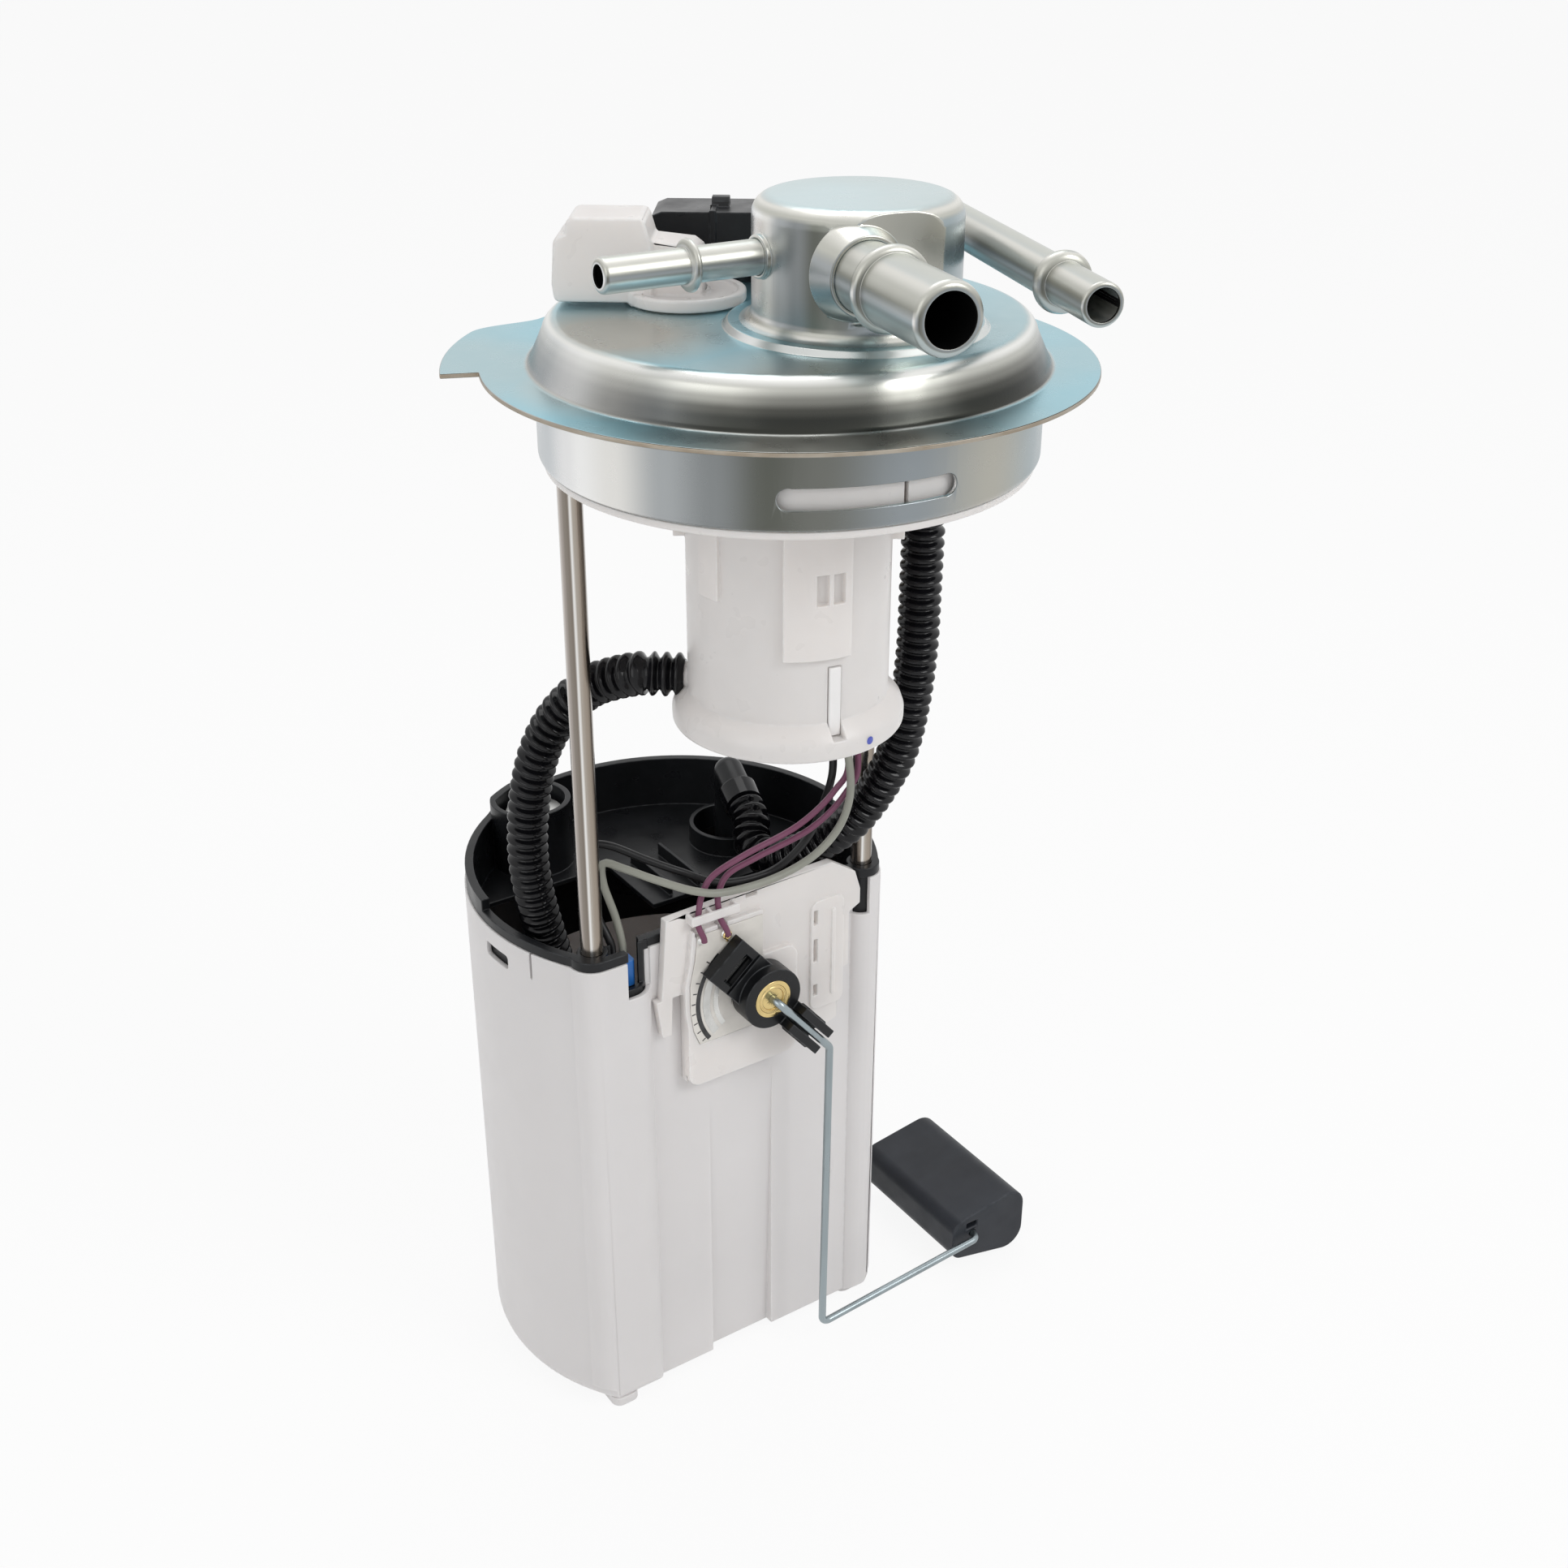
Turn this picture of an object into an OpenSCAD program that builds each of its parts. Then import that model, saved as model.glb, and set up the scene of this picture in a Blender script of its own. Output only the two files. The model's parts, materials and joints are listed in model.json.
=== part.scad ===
// Fuel pump module for a steel fuel tank: a flange head on two guide rods, and a
// spring loaded reservoir with the pump inside and the level sender on its flat face.
// The origin is the centre of the flange's seat on the tank. +Z is up, and the flat
// face of the reservoir looks along -Y.

/* [Flange] */
// Radius of the flange that the lock ring clamps
flange_r = 74; // [70:0.5:80]
// How far the locating ear stands out past the flange
ear_reach = 9; // [5:0.5:12]
// Thickness of the pressed sheet
sheet_t = 1.2; // [1:0.1:1.6]
// Radius of the dome at its foot
dome_r = 61.5; // [58:0.5:64]
// Height of the dome above the seat
dome_h = 12.4; // [10:0.2:16]
// Radius of the skirt that drops into the tank's opening
skirt_r = 61.1; // [58:0.1:63]
// Height of the skirt
skirt_h = 21.5; // [18:0.5:26]
// Height of the slot in the skirt
slot_h = 5; // [3:0.5:7]

/* [Turret] */
// Radius of the turret over the vent valve
turret_r = 24.2; // [21:0.2:26]
// Height of the turret's top above the seat
turret_top = 42; // [38:0.5:46]
// Radius of the raised pad under the turret
pad_r = 31; // [29:0.5:33]
// Height of the raised pad
pad_h = 1.5; // [1:0.1:2]

/* [Pipes] */
// Outside diameter of the vapor pipe
vapor_d = 7.94; // [6:0.01:9]
// Length of the vapor pipe outside the turret
vapor_len = 40; // [30:1:46]
// Outside diameter of the vent pipe
vent_d = 15.88; // [12:0.01:18]
// Length of the vent pipe from its collar
vent_len = 43; // [36:1:50]
// Outside diameter of the feed pipe
feed_d = 9.53; // [8:0.01:10.5]
// Length of the feed pipe's straight run
feed_len = 99.5; // [80:0.5:105]
// Wall of the pipes
pipe_wall = 1; // [0.8:0.1:1.4]
// Height of the pipe axes above the seat
pipe_z = 30; // [27:0.5:32]

/* [Guide rods] */
// Diameter of a guide rod
rod_d = 6.35; // [5.5:0.05:6.6]
// Distance of each rod from the middle, along X
rod_x = 46.2; // [44:0.1:47]
// Distance of the rods behind the flange's axis
rod_y = 28.2; // [27:0.1:29]
// Depth of a rod's lower end inside its guide tube
rod_depth = 72; // [60:1:80]
// Travel of the reservoir up the rods
travel = 45; // [30:1:48]
// Sliding clearance of a rod in its guide tube, on the radius
rod_clear = 0.05; // [0.02:0.01:0.1]

/* [Vent valve] */
// Radius of the valve housing
valve_r = 26; // [24:0.5:27]
// Radius of the brim at its foot
brim_r = 30.2; // [29:0.2:31]
// Depth of the housing's foot below the seat
valve_foot = 93.3; // [88:0.5:98]
// Wall of the housing
valve_wall = 1.8; // [1.5:0.1:2.2]
// Lift of the float inside the housing
float_lift = 8; // [4:0.5:10]

/* [Reservoir] */
// Radius of the reservoir's round back
cup_r = 62.6; // [60:0.2:65]
// Distance of the reservoir's centre behind the flange's axis
cup_y = 61.2; // [59:0.2:63]
// Distance of the flat face behind the flange's axis
flat_y = 25.4; // [24.8:0.1:25.8]
// Depth of the reservoir's rim below the seat
rim_z = 168.4; // [166:0.2:172]
// Height of the reservoir from rim to foot
cup_h = 163; // [150:1:180]
// Wall of the reservoir
cup_wall = 1.6; // [1.4:0.1:1.7]
// Thickness of the reservoir's floor
floor_t = 2; // [1.6:0.1:3]
// Height of the feet
foot_h = 2; // [1:0.5:3]
// Depth of the recess at the bottom of the flat face
recess_d = 3; // [1:0.5:4]

/* [Pump] */
// Radius of the pump's steel case
pump_r = 19; // [17:0.5:20]
// Length of the pump's steel case
pump_len = 76; // [66:1:86]
// Radius of the armature
armature_r = 13.2; // [11:0.2:14]
// Radius of the impeller
impeller_r = 15; // [13:0.5:15.5]
// Radius of the pump's shaft
shaft_r = 2; // [1.5:0.1:2.5]

/* [Sender] */
// Thickness of the sender bracket
bracket_t = 3; // [2.5:0.1:3.4]
// Height of the bracket's top edge below the seat
bracket_top = 159.3; // [157:0.1:161]
// Radius of the rotor's hub
hub_r = 9.6; // [8.5:0.1:10]
// Diameter of the float wire
wire_d = 2.4; // [2:0.1:2.6]
// Drop of the float wire from the hub to its lowest run
wire_drop = 130.3; // [110:0.1:132]
// Reach of the float wire from the hub to the float
wire_reach = 81.9; // [70:0.1:100]
// Width of the float
float_w = 31; // [26:0.5:34]
// Length of the float
float_l = 51; // [40:1:56]

/* [Hoses] */
// Outside radius of a corrugated hose
hose_r = 5.9; // [5:0.1:6]
// Depth of a hose's corrugations
hose_groove = 1.1; // [0.6:0.1:1.4]
// Radius of the grey and black leads
lead_r = 1.3; // [1:0.1:1.4]
// Radius of a purple lead
thin_lead_r = 0.9; // [0.7:0.1:1]

/* [Hidden] */
$fn = 72;
eps = 0.01;
fit = 0.02;
seat = 0.1;

steel = "#c3cbd0";
bright = "#d9d6d2";
milky = "#eeebe8";
black = "#17191c";
brass = "#cfae5a";

// Places on the head
turret_at = [5.8, -18.6];
turret_edge_r = 4.5;
turret_foot = 3.1;
vent_flat = 21.6;
pad_top = dome_h + pad_h;
shoulder_r = 4;
dome_top_r = dome_r - 2.6;
vapor_turn = 176.3;
vapor_pipe_at = turret_at + [2 * sin(vapor_turn), -2 * cos(vapor_turn)];
vapor_bead_at = 24;
vent_turn = -101.7;
vent_at = [-7.2, -38.1];
vent_bead_at = 15;
vent_z = pipe_z - 1;
feed_turn = -108.1;
feed_at = [46, 4];
feed_bend_r = 12;
feed_bead_at = feed_len - 21;
feed_foot = -skirt_h - 3;
hose_cuff = 13;
sensor_at = [-15.5, 22];
sensor_disc_r = 14.7;
sensor_disc_t = 3;
sensor_hole_r = 7;
sensor_lift = 0.3;
sensor_turn = 144;
sensor_reach = 19;
sensor_depth = 16;
connector_at = [17, 34];
connector_turn = 144;
connector_box = [37, 18, 13];
connector_lift = 4;
connector_hole_r = 8;
retainer_t = 1.9;
retainer_r = skirt_r - sheet_t - seat;
retainer_wall = 1.8;
retainer_top = -4;
socket_r = rod_d / 2 + 3.2;
neck_at = [3, -9];
neck_r = 8;
neck_wall = 1.6;
neck_hole_r = 7;
spigot_turn = 140;
spigot_r = 3.6;
spigot_z = -83.5;
spigot_end = 34;

// Places on the reservoir
rim = -rim_z;
cup_foot = rim - cup_h;
cup_base = cup_foot + foot_h;
cup_floor = cup_base + floor_t;
cup_edge_r = 6;
rods = [[-rod_x, rod_y], [rod_x, rod_y]];
tube_bore = rod_d / 2 + rod_clear;
tube_r = tube_bore + 1.17;
boss_r = tube_r + seat + cup_wall;
left_boss_r = boss_r + 1.1;
left_boss_x = 10;
tube_foot = cup_floor + 5;
tube_floor_t = 2;
rod_foot = rim - rod_depth;
stop_z = rod_foot + 5;
stop_r = 0.8;
stop_len = 2 * tube_r - 0.4;
lip_t = 3;
liner_wall = 1.4;
liner_depth = 53;
deck_z = rim - 12;
deck_t = 1.6;
pocket_at = [-25, 105];
pocket_r = 12.5;
pocket_top = rim + 11.4;
pocket_wall = 1.8;
pump_at = [27, 83];
pump_foot = cup_floor + 30;
pump_top = pump_foot + pump_len;
case_wall = 1;
port_at = pump_at + [6.8, -0.5];
port_r = 4.4;
elbow_at = [port_at[0], port_at[1], rim + 13.4];
elbow_end = [30.5, 69.5, rim + 9.4];
elbow_way = elbow_end - elbow_at;
jet_at = [-39, 59];
jet_top = -214;
strainer_z = cup_floor + 0.3;

// Places on the sender
face_y = flat_y - bracket_t;
card_y = face_y - 0.8;
card_t = 1;
carrier_y = face_y - 1.8;
hub = [3.8, -191];
hub_front = 12.2;
hub_back = card_y - card_t - 0.9;
bushing_r = 6;
bushing_t = 1.5;
shank_r = 2.55;
sleeve_bore = shank_r + 0.05;
sleeve_r = 4;
arm_turn = 130;
clip_turn = -50.5;
wire_y = 9;
wire_bend_at = 28.4;
wire_foot = hub[1] - wire_drop;
wire_end = [hub[0] + wire_reach, wire_foot + 4.7];
float_y = wire_y + 3;
float_h = 23;

// Shape helpers
function arc(c, r, a0, a1, n = 8) =
  [for (i = [0:n]) let (a = a0 + (a1 - a0) * i / n) c + r * [cos(a), sin(a)]];
function unit(v) = v / norm(v);
function blend(a, b, c, d, t) =
  0.5 * ((2 * b) + (c - a) * t + (2 * a - 5 * b + 4 * c - d) * t * t
    + (3 * b - a - 3 * c + d) * t * t * t);
function clampi(i, n) = max(0, min(i, n - 1));
function smooth(p, n) = concat(
  [for (i = [0:len(p) - 2]) for (k = [0:n - 1])
    blend(p[clampi(i - 1, len(p))], p[i], p[i + 1], p[clampi(i + 2, len(p))], k / n)],
  [p[len(p) - 1]]);
function heading(p, i) = unit(p[clampi(i + 1, len(p))] - p[clampi(i - 1, len(p))]);
function carried(p, i, n) = let (t = heading(p, i)) unit(n - (n * t) * t);
function sides_of(p, i, n) =
  i == len(p) ? [] : let (m = carried(p, i, n)) concat([m], sides_of(p, i + 1, m));

// A round tube solid along points p, with radius r[i] at point i
module swept(p, r, sides) {
  side = sides_of(p, 0, unit(cross(heading(p, 0), [0.31, 0.17, 1])));
  n = len(p);
  ring = [for (i = [0:n - 1]) let (u = side[i], v = cross(heading(p, i), u))
    for (k = [0:sides - 1]) p[i] + r[i] * (cos(360 * k / sides) * u + sin(360 * k / sides) * v)];
  walls = [for (i = [0:n - 2]) for (k = [0:sides - 1]) let (m = (k + 1) % sides)
    for (w = [[i * sides + k, (i + 1) * sides + k, (i + 1) * sides + m],
      [i * sides + k, (i + 1) * sides + m, i * sides + m]]) w];
  ends = [[for (k = [0:sides - 1]) k], [for (k = [sides - 1:-1:0]) (n - 1) * sides + k]];
  polyhedron(ring, concat(walls, ends), convexity = 8);
}

// A lead along a hand-made route
module lead(route, r) {
  p = smooth(route, 4);
  swept(p, [for (i = p) r], 8);
}

// A corrugated hose along a hand-made route: the rings stand half a pitch apart
module corrugated(route, steps) {
  p = smooth(route, steps);
  n = len(p);
  swept(p, [for (i = [0:n - 1]) i < 2 || i > n - 3 ? hose_r - hose_groove :
    hose_r - (i % 2 == 0 ? hose_groove : 0)], 10);
}

// A helical spring standing on the XY plane
module coil(r, wire, h, turns, steps = 12) {
  rise = h - wire;
  p = [for (i = [0:turns * steps]) let (a = 360 * i / steps)
    [r * cos(a), r * sin(a), wire / 2 + rise * i / (turns * steps)]];
  swept(p, [for (i = p) wire / 2], 6);
}

// A bored pipe along +X with a bead and a turned-in mouth
module pipe(d, len, bead_at, bead_r, bead_w, nose) {
  r = d / 2;
  bore = r - pipe_wall;
  mouth = r - nose - 0.4;
  rotate([0, 90, 0]) rotate_extrude() polygon(concat(
    [[bore, 0], [r, 0], [r, bead_at - bead_w]],
    [for (a = [-80:20:80]) [r + (bead_r - r) * cos(a), bead_at + bead_w * sin(a)]],
    [[r, bead_at + bead_w], [r, len - nose]],
    arc([r - nose, len - nose], nose, 15, 90, 4),
    [[mouth, len], [mouth, len - 0.6], [bore, len - 0.6 - bore + mouth]]));
}

// A box with rounded upright edges
module slab(size, r) {
  linear_extrude(size[2]) rounded(size[0], size[1], r);
}

module rounded(w, d, r) {
  square([w - 2 * r, d], center = true);
  square([w, d - 2 * r], center = true);
  for (x = [-1, 1], y = [-1, 1]) translate([x * (w / 2 - r), y * (d / 2 - r)]) circle(r, $fn = 32);
}

// Turns a drawing in X and Z upright, with its thickness from y to y + t
module upright(y, t) {
  translate([0, y + t, 0]) rotate([90, 0, 0]) linear_extrude(t) children();
}

// A vertical cylinder between two heights
module post(at, r, z0, z1) {
  translate([at[0], at[1], z0]) cylinder(r = r, h = z1 - z0);
}

// Head of the module
function ear_edge(a) =
  let (t = max(0, min(1, (a - 116) / 14))) flange_r + ear_reach * t * t * (3 - 2 * t);
module flange_outline() {
  circle(flange_r, $fn = 144);
  polygon(concat([[0, 0], (flange_r - 2) * [cos(115), sin(115)]],
    [for (a = [117:1:157]) ear_edge(a) * [cos(a), sin(a)]]));
}

function dome_profile(d) = concat(
  [[dome_r + 2.5, sheet_t - d]],
  arc([dome_r + 2.3, sheet_t + 2.2], 2.2 + d, 270, 190, 5),
  arc([dome_top_r - shoulder_r, dome_h - shoulder_r], shoulder_r - d, 10, 90, 6));

module dome_shell() {
  rotate_extrude($fn = 144) polygon(concat(dome_profile(0), [[0, dome_h], [0, dome_h - sheet_t]],
    [for (i = [len(dome_profile(sheet_t)) - 1:-1:0]) dome_profile(sheet_t)[i]]));
}

module mounting_flange() color(steel) {
  difference() {
    union() {
      linear_extrude(sheet_t) difference() {
        flange_outline();
        circle(dome_r + 2, $fn = 144);
      }
      dome_shell();
      translate([turret_at[0], turret_at[1], dome_h - eps]) rotate_extrude()
        polygon([[pad_r - 6, 0], [pad_r, 0], [pad_r - 1.2, pad_h], [pad_r - 6, pad_h]]);
    }
    post(neck_at, neck_hole_r, 0, pad_top + 1);
    post(sensor_at, sensor_hole_r, 0, pad_top + 1);
    post(connector_at, connector_hole_r, 0, pad_top + 1);
    post(feed_at, feed_d / 2 + fit, 0, pad_top + 1);
  }
}

module skirt_band() color(steel) {
  lip = 2.4;
  difference() {
    rotate_extrude($fn = 144) polygon(concat(
      [[skirt_r - sheet_t, 0], [skirt_r, 0]],
      arc([skirt_r - lip, lip - skirt_h], lip, 0, -70, 5),
      arc([skirt_r - lip, lip - skirt_h], lip - sheet_t, -70, 0, 5)));
    rotate([0, 0, -124.4]) rotate_extrude(angle = 35) translate([skirt_r - 3, -13.6 - slot_h / 2])
      square([6, slot_h]);
    for (a = [-124.4, -89.4]) rotate([0, 0, a]) translate([skirt_r - 3, 0, -13.6]) rotate([0, 90, 0])
      cylinder(r = slot_h / 2 + 0.08, h = 6);
  }
}

// Solid of the turret's outside, or of its inside when d is the sheet
module turret_skin(d) {
  r = turret_r;
  e = turret_edge_r;
  low = d > 0 ? 1 : 0;
  h = turret_top - pad_top + low;
  foot = d > 0 ? [[0, 0], [r - d, 0]] :
    concat([[0, 0], [r + turret_foot, 0]],
      arc([r + turret_foot, turret_foot], turret_foot, 270, 180, 5));
  intersection() {
    translate([0, 0, pad_top - low]) rotate_extrude()
      polygon(concat(foot, arc([r - e, h - e], e - d, 0, 90, 6), [[0, h - d]]));
    union() {
      rotate([0, 0, vent_turn]) translate([-60, -60, pad_top - 5]) cube([60 + vent_flat - d, 120, 60]);
      if (d == 0) post([0, 0], 60, pad_top - 1, pad_top + 4);
    }
  }
}

module turret_cup() color(steel) {
  difference() {
    union() {
      translate([turret_at[0], turret_at[1], 0]) difference() {
        turret_skin(0);
        turret_skin(sheet_t);
      }
      translate([vent_at[0], vent_at[1], vent_z]) rotate([0, 90, vent_turn]) translate([0, 0, -3])
        cylinder(r1 = vent_d / 2 + 3.4, r2 = vent_d / 2 + 1, h = 6.5);
      translate([vapor_pipe_at[0], vapor_pipe_at[1], pipe_z]) rotate([0, 90, vapor_turn])
        translate([0, 0, turret_r - 3]) cylinder(r = vapor_d / 2 + 0.9, h = 4.2);
    }
    translate([turret_at[0], turret_at[1], 0]) turret_skin(sheet_t);
    translate([vent_at[0], vent_at[1], vent_z]) rotate([0, 90, vent_turn]) translate([0, 0, -12])
      cylinder(r = vent_d / 2 + fit, h = 40);
    translate([vapor_pipe_at[0], vapor_pipe_at[1], pipe_z]) rotate([0, 90, vapor_turn])
      translate([0, 0, 10]) cylinder(r = vapor_d / 2 + fit, h = 40);
  }
}

module vapor_pipe() color(steel) {
  back = 3;
  translate([vapor_pipe_at[0], vapor_pipe_at[1], pipe_z]) rotate([0, 0, vapor_turn])
    translate([turret_r - back, 0, 0])
      pipe(vapor_d, vapor_len + back, vapor_bead_at - back + 0.2, vapor_d / 2 + 1.9, 1.1, 1.1);
}

module vent_pipe() color(steel) {
  back = 4;
  translate([vent_at[0], vent_at[1], vent_z]) rotate([0, 0, vent_turn]) translate([-back, 0, 0])
    pipe(vent_d, vent_len + back, vent_bead_at + back, vent_d / 2 + 1.6, 1.6, 1.7);
}

module feed_pipe() color(steel) {
  r = feed_d / 2;
  bend_z = pipe_z - feed_bend_r;
  translate([feed_at[0], feed_at[1], 0]) rotate([0, 0, feed_turn]) {
    difference() {
      translate([0, 0, feed_foot]) cylinder(r = r, h = bend_z - feed_foot);
      translate([0, 0, feed_foot - 1]) cylinder(r = r - pipe_wall, h = bend_z - feed_foot + 2);
    }
    translate([feed_bend_r, 0, bend_z]) rotate([90, 0, 180]) rotate_extrude(angle = 90)
      translate([feed_bend_r, 0]) difference() {
        circle(r);
        circle(r - pipe_wall);
      }
    translate([feed_bend_r, 0, pipe_z])
      pipe(feed_d, feed_len - feed_bend_r, feed_bead_at - feed_bend_r, feed_d / 2 + 2, 1.9, 0.8);
  }
}

module sensor_grommet() color("#2a2c2e") {
  translate([sensor_at[0], sensor_at[1], dome_h]) difference() {
    union() {
      cylinder(r = sensor_hole_r + 2, h = sensor_lift);
      translate([0, 0, -sheet_t]) cylinder(r = sensor_hole_r - fit, h = sheet_t);
      translate([0, 0, -sheet_t - 2]) cylinder(r = sensor_hole_r + 1.5, h = 2);
    }
    translate([0, 0, -5]) cylinder(r = 4.5, h = 10);
  }
}

module pressure_sensor() color(milky) {
  x = sensor_reach;
  translate([sensor_at[0], sensor_at[1], dome_h + sensor_lift]) {
    difference() {
      union() {
        cylinder(r = sensor_disc_r, h = sensor_disc_t);
        translate([0, 0, -5]) cylinder(r = 4.5 - fit, h = 6);
      }
      translate([0, 0, sensor_disc_t - 0.8]) difference() {
        cylinder(r = sensor_disc_r - 2, h = 2);
        cylinder(r = 6, h = 2);
      }
      translate([0, 0, -6]) cylinder(r = 2, h = 5);
    }
    rotate([0, 0, sensor_turn]) difference() {
      union() {
        rotate([90, 0, 0]) linear_extrude(13, center = true)
          polygon([[-4.5, 1], [-4.5, 12.3], [-2.2, 14], [x - 10, 15.2], [x - 10, 1]]);
        rotate([90, 0, 0]) linear_extrude(sensor_depth, center = true) polygon([
          [x - 11.8, 1.5], [x - 11, 0.8], [x + 11, 0.8], [x + 11.8, 1.6], [x + 12.2, 5],
          [x + 11.8, 10], [x + 11.4, 15], [x + 10.4, 16.2], [x + 8.6, 16.8], [x + 8.2, 19.6],
          [x + 7, 20.6], [x - 9.4, 20.6], [x - 10.3, 19.8], [x - 11.8, 14.5]]);
      }
      translate([x - 9, -26, 3.2]) cube([18, 30, 13.6]);
    }
  }
}

module sensor_terminals() color(bright) {
  translate([sensor_at[0], sensor_at[1], dome_h + 14]) rotate([0, 0, sensor_turn])
    for (x = [-4, 0, 4]) translate([sensor_reach + x, 0.8, 0]) cube([1.5, 6.4, 0.8], center = true);
}

module electrical_connector() color(black) {
  base = dome_h + connector_lift;
  w = connector_box[1];
  h = connector_box[2];
  end = connector_box[0] - 8;
  translate([connector_at[0], connector_at[1], dome_h]) {
    cylinder(r = connector_hole_r + 3, h = connector_lift + 1);
    translate([0, 0, -sheet_t - 2]) cylinder(r = connector_hole_r - fit, h = sheet_t + 2);
  }
  translate([connector_at[0], connector_at[1], base]) rotate([0, 0, connector_turn]) difference() {
    union() {
      rotate([90, 0, 0]) linear_extrude(w, center = true)
        polygon([[-8, 0], [end, 0], [end, h - 1], [end - 2.5, h], [-1, h], [-8, 6]]);
      translate([10, -2.6, h]) rotate([90, 0, 90]) linear_extrude(4.5)
        polygon([[0, 0], [5.2, 0], [4.9, 1.5], [3.8, 2.4], [1.4, 2.4], [0.3, 1.5]]);
      translate([13, -w / 2 - 0.5, 0]) cube([1.6, w + 1, h + 0.5]);
    }
    translate([end + 0.5, 0, h / 2]) rotate([0, -90, 0]) slab([8.5, 14, 14], 1.5);
  }
}

module connector_pins() color(bright) {
  translate([connector_at[0], connector_at[1], dome_h + connector_lift + connector_box[2] / 2])
    rotate([0, 0, connector_turn]) for (y = [-4.8, -1.6, 1.6, 4.8])
      translate([connector_box[0] - 18, y, 0]) cube([7, 1, 0.8], center = true);
}

module retainer_disc() color(milky) {
  z = -skirt_h - retainer_t;
  wall_r = skirt_r - 2.2;
  difference() {
    union() {
      rotate_extrude($fn = 144) polygon(concat([[0, z], [retainer_r - 0.9, z]],
        arc([retainer_r - 0.9, z + 0.9], 0.9, -60, 0, 3), [[retainer_r, -skirt_h], [0, -skirt_h]]));
      difference() {
        rotate_extrude($fn = 144) translate([wall_r - retainer_wall, -skirt_h - 0.5])
          square([retainer_wall, skirt_h + retainer_top + 0.5]);
        rotate([0, 0, -98.3]) translate([40, -0.5, -skirt_h + 1]) cube([30, 1, 30]);
      }
      intersection() {
        for (p = rods) post(p, socket_r, z, retainer_top);
        post([0, 0], wall_r - 0.4, z, 0);
      }
    }
    for (p = rods) post(p, rod_d / 2 + fit, z - 1, retainer_top - 2);
    post(feed_at, hose_r + 0.8, z - 1, 5);
    post([0, 0], valve_r - 6 + seat, z - 1, 0);
    post([24, 36], 5, z - 1, 0);
    translate([-40, 0, z - 1]) slab([12, 24, 4], 3);
  }
}

// Vent valve under the flange
valve_top = -skirt_h - retainer_t;
module valve_profile() {
  polygon(concat(
    [[0, valve_top], [valve_r + 2.6, valve_top], [valve_r + 2.4, valve_top - 3.4]],
    [[valve_r, valve_top - 7], [valve_r, 9 - valve_foot], [brim_r - 0.7, 5.5 - valve_foot],
      [brim_r, 3.5 - valve_foot]],
    arc([brim_r - 1.2, 1.2 - valve_foot], 1.2, 0, -90, 4), [[0, -valve_foot]]));
}

module sector(a0, a1, r) {
  linear_extrude(300, center = true) polygon([[0, 0], r * [cos(a0), sin(a0)],
    1.3 * r * [cos((a0 + a1) / 2), sin((a0 + a1) / 2)], r * [cos(a1), sin(a1)]]);
}

module valve_housing() color(milky) {
  inner = valve_r - valve_wall;
  difference() {
    union() {
      rotate_extrude($fn = 96) valve_profile();
      post([0, 0], valve_r - 6, valve_top - 1, -skirt_h + 6);
      post([0, 0], valve_r - 4, -skirt_h, -skirt_h + 2);
      post(neck_at, neck_r, -skirt_h, dome_h - sheet_t);
      intersection() {
        post([0, 0], valve_r + 1.7, -66.6, valve_top - 1);
        sector(-127, -90, 60);
      }
      intersection() {
        post([0, 0], valve_r + 1.2, -53.5, valve_top - 1);
        sector(-179, -164, 60);
      }
      intersection() {
        post([0, 0], valve_r + 3, -43.5, -36.5);
        union() {
          sector(136, 150, 60);
          sector(-42, -28, 60);
        }
      }
      translate([0, 0, spigot_z]) rotate([0, 90, spigot_turn]) cylinder(r = spigot_r, h = spigot_end);
    }
    post([0, 0], inner, -valve_foot - 1, valve_top - 2.2);
    post([0, 0], brim_r - 1.7, -valve_foot - 1, 4.2 - valve_foot);
    post(neck_at, neck_r - neck_wall, valve_top - 5, dome_h);
    translate([0, 0, spigot_z]) rotate([0, 90, spigot_turn])
      cylinder(r = spigot_r - 1.2, h = spigot_end + 1);
    for (a = [-106.5, -97.5]) rotate([0, 0, a])
      translate([valve_r, -1.6, -52.3]) cube([8, 3.2, 7.8]);
    for (a = [30, 90]) rotate([0, 0, a]) translate([valve_r - 5, -4.5, -46]) cube([12, 9, 17]);
    rotate([0, 0, -98]) translate([valve_r - 0.7, -1.8, 5 - valve_foot]) cube([6, 3.6, 19]);
  }
}

module valve_base() color(milky) {
  plug_r = valve_r - valve_wall - seat;
  difference() {
    union() {
      post([0, 0], brim_r - 1.7 - seat, -valve_foot + 0.6, -valve_foot + 2.6);
      post([0, 0], plug_r, -valve_foot + 2.5, -valve_foot + 7);
    }
    difference() {
      post([0, 0], plug_r - 1.7, -valve_foot + 4, -valve_foot + 8);
      post([0, 0], 3.2, -valve_foot + 3, -valve_foot + 9);
    }
    for (a = [0:60:300]) rotate([0, 0, a]) translate([15, 0, -valve_foot]) slab([9, 5, 8], 1.5);
  }
  post([0, 0], 3.2, -valve_foot + 6, -valve_foot + 22);
}

valve_float_foot = -valve_foot + 12;
valve_float_h = 45;
module valve_spring() color(bright) {
  translate([0, 0, -valve_foot + 4 + 0.05]) coil(7.5, 1.1, 7.9, 3);
}

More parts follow.
